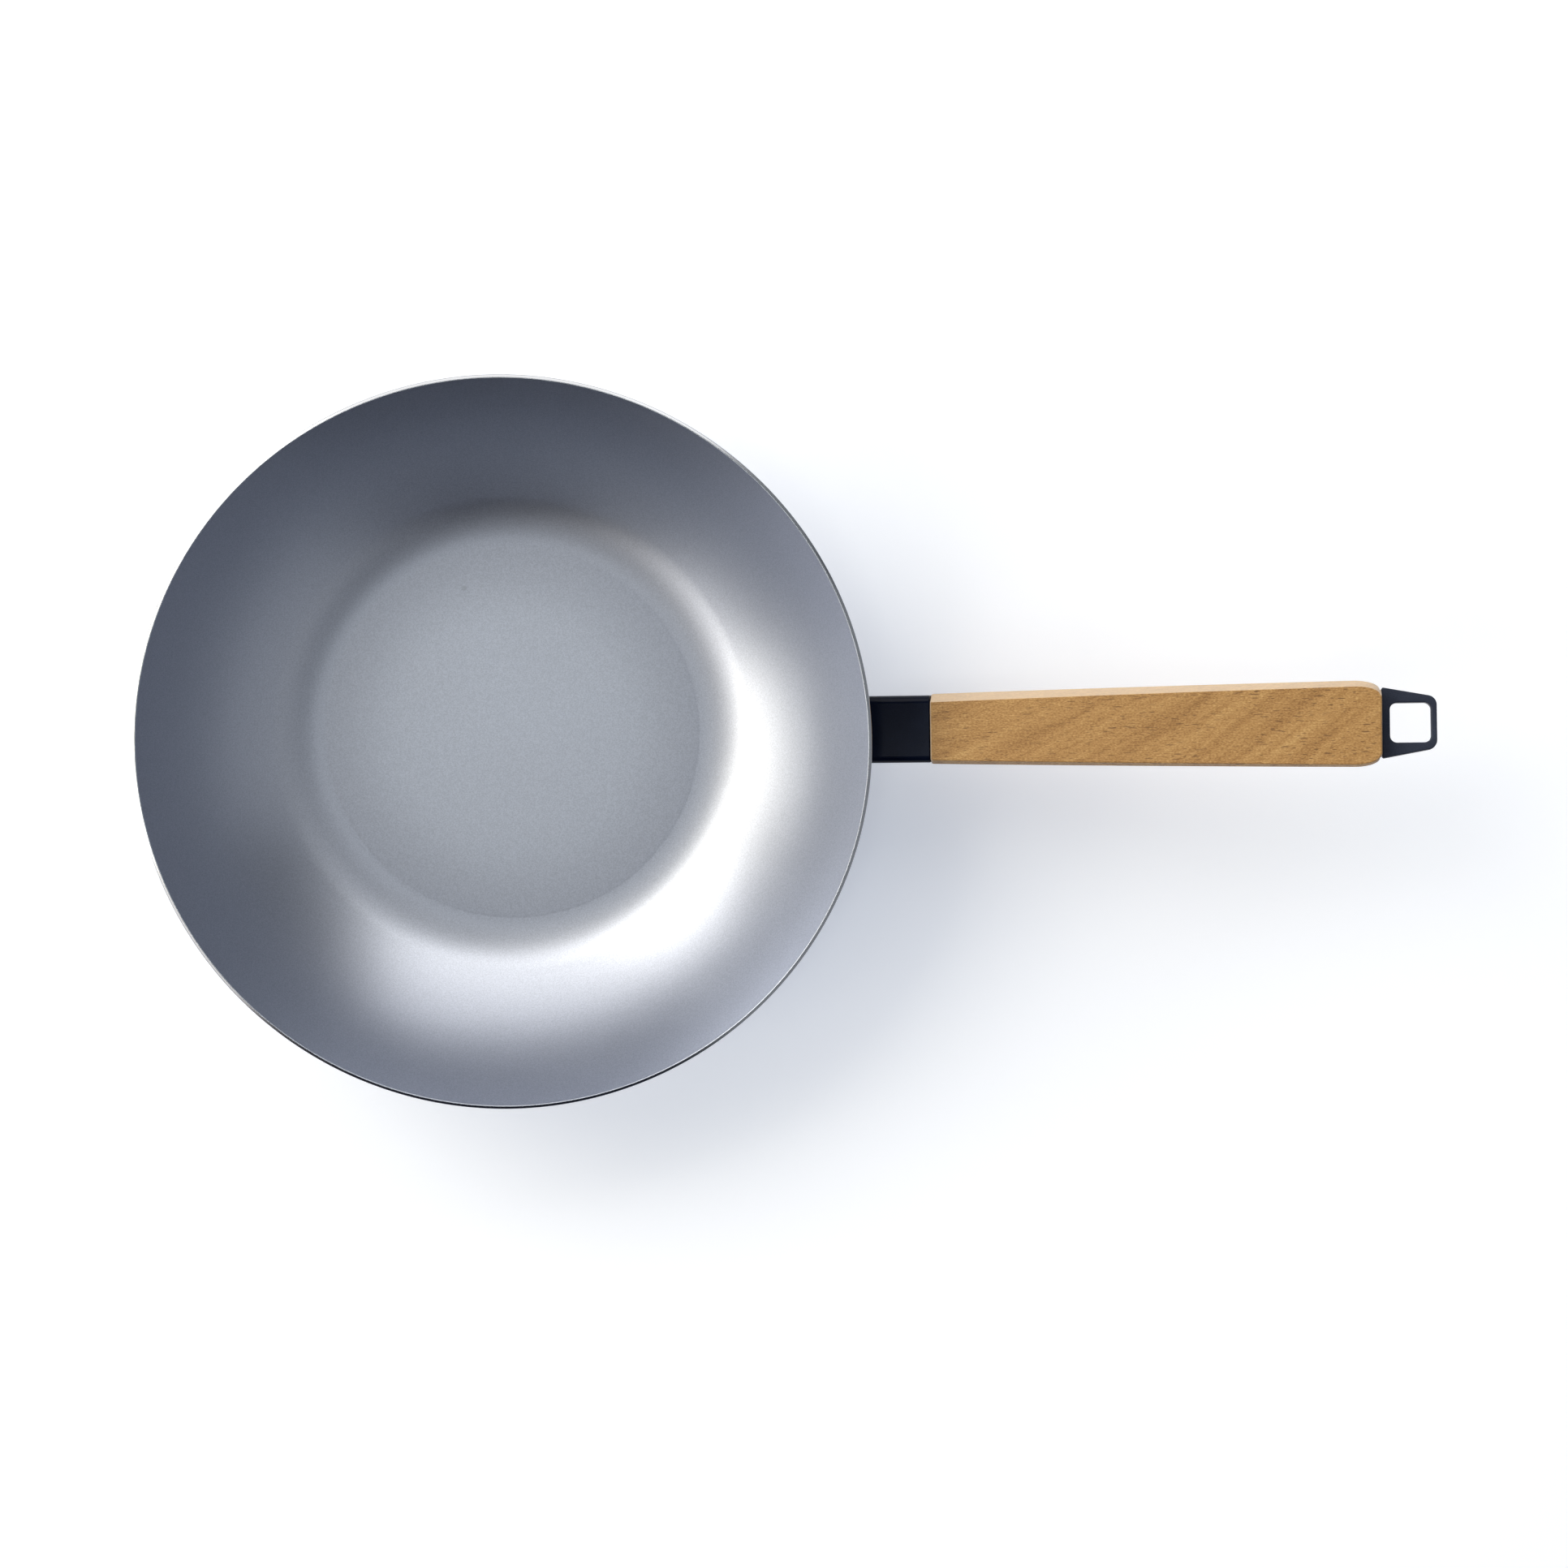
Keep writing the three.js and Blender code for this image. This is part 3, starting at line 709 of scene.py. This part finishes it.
def plate(outline, holes, low, high, edge, place, steps=3, grid=0):
    work = bmesh.new()
    levels = [(edge * (1 - sine), low + edge * (1 - cosine)) for sine, cosine in quarter(steps)]
    levels += [(inset, low + high - level) for inset, level in reversed(levels)]
    ends = {0: ([], []), -1: ([], [])}
    for edge_line, sign in [(outline, 1)] + [(hole, -1) for hole in holes]:
        flats = [drawn_in(edge_line, sign * inset) for inset, _ in levels]
        rings = [[work.verts.new(place(p.x, p.y, level)) for p in flat]
                 for flat, (_, level) in zip(flats, levels)]
        skin(work, rings)
        for end, (end_rings, end_flats) in ends.items():
            end_rings.append(rings[end])
            end_flats.append(flats[end])
    for end, (rings, flats) in ends.items():
        level = levels[end][1]
        extra = [(work.verts.new(place(p.x, p.y, level)), p) for p in grid_points(flats, grid)]
        cap(work, rings, flats, extra)
    return work


def grid_points(flats, pitch):
    if not pitch:
        return []
    columns, rows = (int(max(abs(p[axis]) for p in flats[0]) / pitch) for axis in (0, 1))
    points = []
    for i in range(-columns, columns + 1):
        for j in range(-rows, rows + 1):
            p = Vector((i * pitch, j * pitch))
            near = min((p - q).length for flat in flats for q in flat)
            if near > pitch / 2 and within(p, flats[0]) and not any(within(p, f) for f in flats[1:]):
                points.append(p)
    return points


def piece_of(work, name):
    mesh = bpy.data.meshes.new(name)
    work.to_mesh(mesh)
    work.free()
    return new_piece(name, mesh)


print("a rounded square of 10 mm has", len(rounded_rectangle(10, 10, 2)), "points")

# %% [markdown]
# ## Saddle plate and plug welds
# Nothing pierces the inside of the bowl, so the handle is held by a plate welded to the outside.
# The plate is bent to the wall and has a hole near each corner, which a plug weld fills. A plug
# sets as a low dome with rings in it, so it is turned on the lathe and laid on the wall.

# %% Make the saddle plate
FIT_GAP = 0.3
SADDLE_WIDTH, SADDLE_LENGTH, SADDLE_CORNER = 54, 46, 8
SADDLE_LOW, SADDLE_HIGH, SADDLE_EDGE = FIT_GAP, FIT_GAP + 2, 0.5
SADDLE_GRID = 4
PLUG_DIAMETER = 6
PLUG_ACROSS, PLUG_UP = SADDLE_WIDTH / 2 - 5.5, 14
plug_places = [(a * PLUG_ACROSS, b * PLUG_UP) for a, b in CORNERS]

saddle_outline = rounded_rectangle(SADDLE_WIDTH, SADDLE_LENGTH, SADDLE_CORNER, 8)
plug_holes = [circle(PLUG_DIAMETER + 2 * FIT_GAP, a, u) for a, u in plug_places]
saddle_work = plate(saddle_outline, plug_holes, SADDLE_LOW, SADDLE_HIGH, SADDLE_EDGE, on_wall,
                    grid=SADDLE_GRID)
saddle = piece_of(saddle_work, "saddle")
finish_piece(saddle, coated_steel, "pan", "saddle_plate")

# %% Lay the four plug welds
PLUG_CROWN, PLUG_STEPS = 0.5, 22
RING_HEIGHT, RING_WAVES = 0.06, 2.5


def plug_section():
    top = SADDLE_HIGH + PLUG_CROWN
    points = [(0, SADDLE_LOW), (PLUG_DIAMETER / 2, SADDLE_LOW), (PLUG_DIAMETER / 2, SADDLE_HIGH)]
    for i in range(1, PLUG_STEPS + 1):
        share = i / PLUG_STEPS
        dome = PLUG_CROWN * (1 - (1 - share) ** 2)
        ripple = RING_HEIGHT * math.sin(share * RING_WAVES * 2 * math.pi) * (1 - share)
        points.append((PLUG_DIAMETER / 2 * (1 - share), min(SADDLE_HIGH + dome + ripple, top)))
    return points


for number, (across, up) in enumerate(plug_places, 1):
    foot = on_wall(across, up, 0)
    out = (on_wall(across, up, 2) - foot).normalized()
    lay = Matrix.Translation(foot) @ out.to_track_quat("Z", "Y").to_matrix().to_4x4() @ millimetres
    plug = turn_piece(f"plug_{number}", plug_section(), 32, coated_steel, lay)
    finish_piece(plug, coated_steel, "pan", f"plug_weld_{number}", 50)

# %% [markdown]
# ## The neck
# The neck is a rectangular tube with rounded corners. Its foot is cut to the curve of the wall,
# so each line of the tube has its own length, found by running back along the handle until it
# meets the saddle plate. The mouth of the tube has a small rounded edge.

# %% Make the neck tube
NECK_WIDTH, NECK_HEIGHT, NECK_WALL, NECK_CORNER = 28, 17, 2, 3.2
NECK_FOOT = SADDLE_HIGH + FIT_GAP
NECK_EDGE = 0.4


def foot_of(y, z):
    start = handle_turn @ Vector((0, y, z)) + HANDLE_START
    return (reach(start, handle_line, NECK_FOOT) - start).dot(handle_line)


def neck_rings(work, outline, sign):
    rings = []
    for share in spread(0, 1, 10):
        ring = []
        for p in outline:
            foot = foot_of(p.x, p.y)
            x = foot + (-FIT_GAP - NECK_EDGE - foot) * share
            ring.append(work.verts.new(in_handle(x, p.x, p.y)))
        rings.append(ring)
    for sine, cosine in quarter(4):
        flat = drawn_in(outline, sign * NECK_EDGE * (1 - cosine))
        x = -FIT_GAP - NECK_EDGE * (1 - sine)
        rings.append([work.verts.new(in_handle(x, p.x, p.y)) for p in flat])
    skin(work, rings)
    return rings


def make_neck():
    work = bmesh.new()
    outside = rounded_rectangle(NECK_WIDTH, NECK_HEIGHT, NECK_CORNER, 8)
    inside = rounded_rectangle(NECK_WIDTH - 2 * NECK_WALL, NECK_HEIGHT - 2 * NECK_WALL,
                               NECK_CORNER - NECK_WALL, 8)
    outer = neck_rings(work, outside, 1)
    inner = neck_rings(work, inside, -1)
    bridge(work, outer[0], inner[0])
    bridge(work, outer[-1], inner[-1])
    return piece_of(work, "neck")


finish_piece(make_neck(), coated_steel, "pan", "neck_tube")

# %% [markdown]
# ## The weld round the neck
# A weld bead is a row of overlapping ripples along a seam, which is just what sweeping a section
# along a path gives. The tree takes a path, sets its radius by a wave on the length travelled,
# and sweeps a rounded rectangle along it. The spring washer uses the same tree without ripples.

# %% Build the sweep tree


def make_sweep_tree():
    sizes = ["Width", "Height", "Round", "Ripple Pitch", "Ripple Share"]
    tree = Tree("sweep", [(size, "Float") for size in sizes] + [("Material", "Material")])
    path = tree.node("GeometryNodeMeshToCurve", {}, {"Mesh": tree.input("Geometry")})
    upright = tree.node("GeometryNodeSetCurveNormal", {"mode": "Z_UP"}, {"Curve": path})
    travelled = tree.node("GeometryNodeSplineParameter", {}, {}, "Length")
    wave = tree.maths("FRACT", tree.maths("DIVIDE", travelled, tree.input("Ripple Pitch")))
    size = tree.maths("SUBTRACT", 1.0, tree.maths("MULTIPLY", wave, tree.input("Ripple Share")))
    shape = tree.node("GeometryNodeCurvePrimitiveQuadrilateral", {"mode": "RECTANGLE"},
                      {"Width": tree.input("Width"), "Height": tree.input("Height")})
    fillet = {"Curve": shape, "Count": 4, "Radius": tree.input("Round"), "Limit Radius": True}
    rounded = tree.node("GeometryNodeFilletCurve", {"mode": "POLY"}, fillet)
    sweep = {"Curve": upright, "Profile Curve": rounded, "Scale": size, "Fill Caps": True}
    return tree.end(tree.node("GeometryNodeCurveToMesh", {}, sweep))


sweep_tree = make_sweep_tree()

# %% Lay the weld bead
BEAD_SIZE, BEAD_PITCH, BEAD_RIPPLE = 3.6, 1.3, 0.16
BEAD_OUT, BEAD_AHEAD, BEAD_STEP = 0.7, 0.6, 0.22


def evenly(outline, pitch):
    points = []
    for i, end in enumerate(outline):
        start = outline[i - 1]
        count = max(1, round((end - start).length / pitch))
        points += [start.lerp(end, k / count) for k in range(count)]
    return points


def bead_path():
    width, height = NECK_WIDTH + 2 * BEAD_OUT, NECK_HEIGHT + 2 * BEAD_OUT
    seam = evenly(rounded_rectangle(width, height, NECK_CORNER + BEAD_OUT, 8), BEAD_STEP)
    return [in_handle(foot_of(p.x, p.y) + BEAD_AHEAD, p.x, p.y) for p in seam]


bead = run_tree(sweep_tree, chain(bead_path(), True), "neck_bead", Width=BEAD_SIZE * MM,
                Height=BEAD_SIZE * MM, Round=BEAD_SIZE / 2 * MM, Ripple_Pitch=BEAD_PITCH * MM,
                Ripple_Share=BEAD_RIPPLE, Material=coated_steel)
finish_piece(bead, coated_steel, "pan", "neck_weld", 60)

# %% [markdown]
# ## End plate, nut and pins
# A plate closes the mouth of the neck. Behind it sits a square nut, welded on, that takes the rod,
# and two pins stand out of it into the wood so that the grip can't turn.

# %% Make the end plate and the nut
BORE = 6.6
PIN_ACROSS, PIN_HOLE = 8.5, 4.6
END_PLATE_BACK, END_PLATE_EDGE = -2.8, 0.25
NUT_BACK, NUT_FRONT, NUT_WIDTH, NUT_CORNER, NUT_EDGE = -8.1, -3.1, 10, 0.6, 0.45


def across_handle(y, z, x):
    return in_handle(x, y, z)


def cross_plate(name, outline, holes, back, front, edge):
    return piece_of(plate(outline, holes, back, front, edge, across_handle), name)


mouth_inset = NECK_WALL + FIT_GAP
mouth = rounded_rectangle(NECK_WIDTH - 2 * mouth_inset, NECK_HEIGHT - 2 * mouth_inset,
                          NECK_CORNER - mouth_inset)
end_holes = [circle(BORE), circle(PIN_HOLE, PIN_ACROSS), circle(PIN_HOLE, -PIN_ACROSS)]
end_plate = cross_plate("mouth_plate", mouth, end_holes, END_PLATE_BACK, -FIT_GAP, END_PLATE_EDGE)
finish_piece(end_plate, coated_steel, "pan", "end_plate")

nut_outline = rounded_rectangle(NUT_WIDTH, NUT_WIDTH, NUT_CORNER)
nut = cross_plate("square_nut", nut_outline, [circle(BORE)], NUT_BACK, NUT_FRONT, NUT_EDGE)
finish_piece(nut, bright_steel, "pan", "weld_nut")

# %% Turn the two pins
PIN_RADIUS, PIN_END, PIN_ROUND = 2, 10, 0.9


def pin_section():
    points = [(0, END_PLATE_BACK), (PIN_RADIUS, END_PLATE_BACK)]
    for sine, cosine in quarter(5):
        points.append((PIN_RADIUS - PIN_ROUND * (1 - cosine), PIN_END - PIN_ROUND * (1 - sine)))
    return points + [(0, PIN_END)]


for name, side in (("left", 1), ("right", -1)):
    across = Matrix.Translation((0, side * PIN_ACROSS, 0))
    pin = turn_piece(f"pin_{name}", pin_section(), 32, bright_steel, handle_frame @ across @ lay_down)
    finish_piece(pin, bright_steel, "pan", f"locating_pin_{name}")

# %% [markdown]
# ## The grip
# The grip is one piece of beech with an eight-sided section: a broad flat above and below, narrow
# sides, and sloped faces between, of which one is narrower, as hand sanding leaves it. It widens
# towards the back, where its corners are rounded off. Sections are drawn along the handle and
# joined into a skin, with every long edge eased by a small radius. The holes for the rod, the pins
# and the collar are real. Last, the faces of the lit side and the front bevel are marked for a
# painted highlight.

# %% Draw the grip's sections
GRIP_LENGTH, GRIP_THICKNESS = 183.5, 20
GRIP_WIDTH = (29, 35.2)
GRIP_SWELL = 0.5
CHAMFER_WIDTH = (3.1, 2)
CHAMFER_STEEPNESS = 2
NARROW_SHARE = 0.55
END_ROUND = 0.8
REAR_CORNER_LENGTH, REAR_CORNER_DEPTH = 10, 3.8
LONG_EDGE = 0.7


def between(pair, share):
    return pair[0] + (pair[1] - pair[0]) * share


def grip_section(along, inset, corner_cut):
    share = along / GRIP_LENGTH
    width = between(GRIP_WIDTH, share) + GRIP_SWELL * 4 * share * (1 - share)
    side = width / 2 - inset - corner_cut
    chamfer = between(CHAMFER_WIDTH, share)
    narrow = chamfer * NARROW_SHARE
    flat = side - chamfer
    top = GRIP_THICKNESS / 2 - inset
    shoulder = top - CHAMFER_STEEPNESS * chamfer
    low = top - CHAMFER_STEEPNESS * narrow
    e = LONG_EDGE
    upper = [(side, shoulder, e), (flat, top, e), (narrow - side, top, e), (-side, low, e)]
    lower = [(-side, -shoulder, e), (-flat, -top, e), (flat, -top, e), (side, -shoulder, e)]
    return rounded_outline(upper + lower, 4)


def grip_stations():
    stations = []
    for sine, cosine in quarter(4):
        stations.append((END_ROUND * (1 - cosine), END_ROUND * (1 - sine), 0))
    corner_from = GRIP_LENGTH - END_ROUND - REAR_CORNER_LENGTH
    stations += [(x, 0, 0) for x in spread(END_ROUND, corner_from, 28)[1:]]
    for sine, cosine in quarter(12):
        cut = REAR_CORNER_DEPTH * (1 - cosine)
        stations.append((corner_from + REAR_CORNER_LENGTH * sine, 0, cut))
    for sine, cosine in quarter(4)[1:]:
        x = GRIP_LENGTH - END_ROUND * (1 - sine)
        stations.append((x, END_ROUND * (1 - cosine), REAR_CORNER_DEPTH))
    return stations


print("the grip has", len(grip_stations()), "stations of", len(grip_section(50, 0, 0)), "points")

# %% Skin the grip and bore its holes
COUNTERBORE, COUNTERBORE_FLOOR = 15, 174.6
PIN_HOLE_DEPTH = 10.3


def ring_at(work, flat, x):
    return [work.verts.new(in_handle(x, p.x, p.y)) for p in flat]


def make_grip():
    work = bmesh.new()
    stations = grip_stations()
    flats = [grip_section(*station) for station in stations]
    rings = [ring_at(work, flat, station[0]) for flat, station in zip(flats, stations)]
    skin(work, rings)
    bore, wide = circle(BORE), circle(COUNTERBORE, steps=48)
    pins = [circle(PIN_HOLE, PIN_ACROSS), circle(PIN_HOLE, -PIN_ACROSS)]
    bore_front, bore_back = ring_at(work, bore, 0), ring_at(work, bore, COUNTERBORE_FLOOR)
    wide_front, wide_back = ring_at(work, wide, COUNTERBORE_FLOOR), ring_at(work, wide, GRIP_LENGTH)
    pin_fronts = [ring_at(work, pin, 0) for pin in pins]
    pin_floors = [ring_at(work, pin, PIN_HOLE_DEPTH) for pin in pins]
    bridge(work, bore_front, bore_back)
    bridge(work, wide_front, wide_back)
    for front, floor, pin in zip(pin_fronts, pin_floors, pins):
        bridge(work, front, floor)
        cap(work, [floor], [pin])
    cap(work, [rings[0], bore_front, *pin_fronts], [flats[0], bore, *pins])
    cap(work, [rings[-1], wide_back], [flats[-1], wide])
    cap(work, [wide_front, bore_back], [wide, bore])
    return piece_of(work, "wooden_grip")


BEVEL_LEAN = (-0.95, -0.25)
SIDE_LEAN = 0.3


# Marks the lit side's faces and the front bevel, which the beech gives a painted highlight.
def mark_painted_highlight(piece):
    ahead, across = (handle_turn.to_3x3() @ Vector(axis) for axis in ((1, 0, 0), (0, 1, 0)))
    pale = piece.data.attributes.new("pale_edge", "FLOAT", "FACE")
    for face in piece.data.polygons:
        bevel = BEVEL_LEAN[0] < face.normal.dot(ahead) < BEVEL_LEAN[1]
        pale.data[face.index].value = float(bevel or face.normal.dot(across) > SIDE_LEAN)


grip = finish_piece(make_grip(), beech, "grip", "grip")
mark_painted_highlight(grip)

# %% [markdown]
# ## Rod and washers
# The rod is 6 mm studding whose thread shows at the front, where it leaves the nut. The lathe tree
# cuts that thread. A flat washer and a split spring washer sit at the bottom of the counterbore.

# %% Turn the rod and the flat washer
ROD_FRONT, ROD_BACK, ROD_RADIUS = -9.1, 182, 3
THREAD_LENGTH, THREAD_PITCH, THREAD_DEPTH, ROWS_PER_TURN = 30, 1, 0.55, 8
SHANK_RADIUS, SHANK_BEVEL = 2.9, 0.4
TIP_BEVEL, TIP_LENGTH = 0.6, 0.5


def rod_section():
    thread_end = ROD_FRONT + THREAD_LENGTH
    rows = spread(ROD_FRONT + TIP_LENGTH, thread_end, THREAD_LENGTH * ROWS_PER_TURN)
    points = [(0, ROD_FRONT), (ROD_RADIUS - TIP_BEVEL, ROD_FRONT)]
    points += [(ROD_RADIUS, x) for x in rows]
    points += [(SHANK_RADIUS, thread_end + TIP_LENGTH), (SHANK_RADIUS, ROD_BACK - SHANK_BEVEL)]
    return points + [(SHANK_RADIUS - SHANK_BEVEL, ROD_BACK), (0, ROD_BACK)]


rod_place = loop_frame @ lay_down
thread = (THREAD_PITCH, THREAD_DEPTH, ROD_FRONT + THREAD_LENGTH)
rod = turn_piece("rod", rod_section(), 32, bright_steel, rod_place, thread)
finish_piece(rod, bright_steel, "loop", "tie_rod", 60)

WASHER_FROM, WASHER_TO, WASHER_DIAMETER, WASHER_EDGE = 174.9, 176.1, 13, 0.2
washer_outline = circle(WASHER_DIAMETER, steps=48)
washer = cross_plate("washer", washer_outline, [circle(BORE)], WASHER_FROM, WASHER_TO, WASHER_EDGE)
finish_piece(washer, bright_steel, "washers", "flat_washer")

# %% Sweep the spring washer
SPRING_FROM, SPRING_TO, SPRING_DIAMETER, SPRING_SLIT = 176.4, 178, 11.8, 1.5
SPRING_LIFT, SPRING_EDGE, SPRING_STEPS = 0.3, 0.15, 60


def spring_path():
    middle = (SPRING_DIAMETER + BORE) / 4
    gap = SPRING_SLIT / (2 * middle)
    points = []
    for i in range(SPRING_STEPS + 1):
        share = i / SPRING_STEPS
        angle = math.pi / 2 + gap + (2 * math.pi - 2 * gap) * share
        height = (SPRING_FROM + SPRING_TO) / 2 + SPRING_LIFT * (share - 0.5)
        points.append(Vector((middle * math.cos(angle), middle * math.sin(angle), height)) * MM)
    return points


spring_width = (SPRING_DIAMETER - BORE) / 2
spring_height = SPRING_TO - SPRING_FROM - SPRING_LIFT
spring = run_tree(sweep_tree, chain(spring_path()), "split_washer",
                  Width=spring_width * MM, Height=spring_height * MM, Round=SPRING_EDGE * MM,
                  Ripple_Pitch=1.0, Ripple_Share=0.0, Material=bright_steel)
spring.data.transform(handle_frame @ lay_down @ Matrix.Scale(1 / MM, 4))
finish_piece(spring, bright_steel, "washers", "spring_washer")

# %% [markdown]
# ## The hanging loop
# The loop is a flat plate with a rounded square window, drawn in towards its tip, on a round
# collar that goes into the wood. The plate comes from the plate function and the collar from the
# lathe, and the two are one piece.

# %% Make the hanging loop
LOOP_FROM, LOOP_LENGTH, LOOP_THICKNESS = 183.8, 22, 4
LOOP_BASE_WIDTH, LOOP_TIP_WIDTH = 29.2, 21
LOOP_BASE_CORNER, LOOP_TIP_CORNER = 0.8, 4
WINDOW_SIZE, WINDOW_CORNER, WINDOW_OFFSET = 16.3, 2.8, 3.3
COLLAR_FROM, COLLAR_DIAMETER, SOCKET_DEPTH = 178.3, 13, 4
COLLAR_BEVEL, COLLAR_FOOT_BEVEL, SOCKET_BEVEL = 0.4, 0.2, 0.3
LOOP_EDGE = 0.6


def in_loop(x, y, z):
    return loop_frame @ Vector((x, y, z))


def loop_outline():
    tip = LOOP_FROM + LOOP_LENGTH
    base, end = LOOP_BASE_WIDTH / 2, LOOP_TIP_WIDTH / 2
    return rounded_outline([(LOOP_FROM, base, LOOP_BASE_CORNER), (LOOP_FROM, -base, LOOP_BASE_CORNER),
                            (tip, -end, LOOP_TIP_CORNER), (tip, end, LOOP_TIP_CORNER)], 10)


def window_outline():
    middle = LOOP_FROM + WINDOW_OFFSET + WINDOW_SIZE / 2
    square = rounded_rectangle(WINDOW_SIZE, WINDOW_SIZE, WINDOW_CORNER, 10)
    return [p + Vector((middle, 0)) for p in square]


def collar_section():
    radius, hole = COLLAR_DIAMETER / 2, BORE / 2
    return [(0, COLLAR_FROM + SOCKET_DEPTH), (hole, COLLAR_FROM + SOCKET_DEPTH),
            (hole, COLLAR_FROM + SOCKET_BEVEL), (hole + SOCKET_BEVEL, COLLAR_FROM),
            (radius - COLLAR_BEVEL, COLLAR_FROM), (radius, COLLAR_FROM + COLLAR_BEVEL),
            (radius, LOOP_FROM - COLLAR_FOOT_BEVEL), (radius - COLLAR_FOOT_BEVEL, LOOP_FROM),
            (0, LOOP_FROM)]


loop_work = plate(loop_outline(), [window_outline()], -LOOP_THICKNESS / 2, LOOP_THICKNESS / 2,
                  LOOP_EDGE, in_loop, 4)
collar = turn_piece("collar", collar_section(), 48, loop_coat, rod_place)
loop_work.from_mesh(collar.data)
bpy.data.objects.remove(collar)
finish_piece(piece_of(loop_work, "loop"), loop_coat, "loop", "hanging_loop")

# %% [markdown]
# ## Floor and light
# The wok stands on a plain white floor, a wide dish from the same lathe, whose far edge turns up so
# that low views have no horizon. It lies a hair below the base, so the two never share a plane, and
# it glows a little for the camera and for mirrors, so that it shows white without more light on the
# wok. Bare steel is a blurred mirror, so the lamps' places decide the look of the bowl. Three soft
# lamps at the left and the back make the bright crescent, a small one overhead makes the even grey
# of the base, and four weaker ones keep the dark side and the handle's shadows open. The room itself
# is nearly dark.

# %% Lay the floor


def make_floor():
    paper = Finish("paper", Specular_IOR_Level=0.2)
    grain = paper.noise(3, 3)
    camera_ray, glossy_ray, clear_ray = (paper.node("ShaderNodeLightPath", {}, {}, f"Is {kind} Ray")
                                         for kind in ("Camera", "Glossy", "Transmission"))
    seen = camera_ray + glossy_ray + clear_ray
    white = paper.mix(grain, (0.89, 0.89, 0.89), (0.91, 0.91, 0.91))
    glow = paper.mix(seen, (0, 0, 0), (0.29, 0.315, 0.365))
    paper.shader.inputs["Emission Strength"].default_value = 1
    return paper.done(Base_Color=white, Roughness=0.8 + grain * 0.1, Emission_Color=glow)


FLOOR_RADIUS, FLOOR_TURN, FLOOR_DROP = 12000, 900, 0.2


def floor_section():
    points = [(0, -FLOOR_DROP)]
    for sine, cosine in quarter(12):
        points.append((FLOOR_RADIUS + FLOOR_TURN * sine, FLOOR_TURN * (1 - cosine) - FLOOR_DROP))
    return points


paper = make_floor()
floor = turn_piece("floor", floor_section(), 96, paper)
floor.data.materials.clear()
floor.data.materials.append(paper)
floor.data.shade_smooth()
print("the floor is", FLOOR_RADIUS * 2 * MM, "m across")

# %% Hang the lamps
MIDDLE = Vector((0.02, 0, 0.04))
ROOM_COLOUR = (0.012, 0.014, 0.028, 1)


def hang_lamp(name, azimuth, elevation, distance, size, glow, colour):
    lamp = bpy.data.lights.new(name, "AREA")
    lamp.shape = "RECTANGLE"
    lamp.size, lamp.size_y = size
    lamp.energy = glow * math.pi * size[0] * size[1]
    lamp.color = colour
    a, e = math.radians(azimuth), math.radians(elevation)
    back = Vector((math.cos(a) * math.cos(e), math.sin(a) * math.cos(e), math.sin(e)))
    hung = bpy.data.objects.new(name, lamp)
    hung.location = MIDDLE + back * distance
    hung.rotation_euler = (-back).to_track_quat("-Z", "Y").to_euler()
    bpy.context.scene.collection.objects.link(hung)
    print("lamp", name, "gives", round(lamp.energy, 1), "W")


hang_lamp("left", 182, 20, 4.0, (2.2, 1.8), 4.9, (1.0, 0.95, 0.83))
hang_lamp("key", 146, 34, 4.0, (2.4, 2.6), 3.8, (1.0, 0.945, 0.82))
hang_lamp("back", 105, 31, 4.0, (7.8, 3.2), 2.0, (1.0, 0.985, 0.95))
hang_lamp("side", 50, 45, 4.0, (2.8, 3.2), 0.35, (0.93, 0.98, 1.0))
hang_lamp("overhead", 213, 84.5, 1.27, (0.25, 0.25), 4.5, (0.93, 0.985, 1.0))
hang_lamp("ceiling", 0, 90, 2.6, (3.2, 3.2), 0.14, (0.88, 0.93, 1.0))
hang_lamp("right", -22, 34, 4.0, (6.0, 3.6), 0.40, (0.93, 0.97, 1.0))
hang_lamp("front", 210, 34, 4.0, (2.0, 2.6), 1.75, (1.0, 0.97, 0.92))

world = bpy.data.worlds.new("room")
world.use_nodes = True
world.node_tree.nodes["Background"].inputs["Color"].default_value = ROOM_COLOUR
bpy.context.scene.world = world
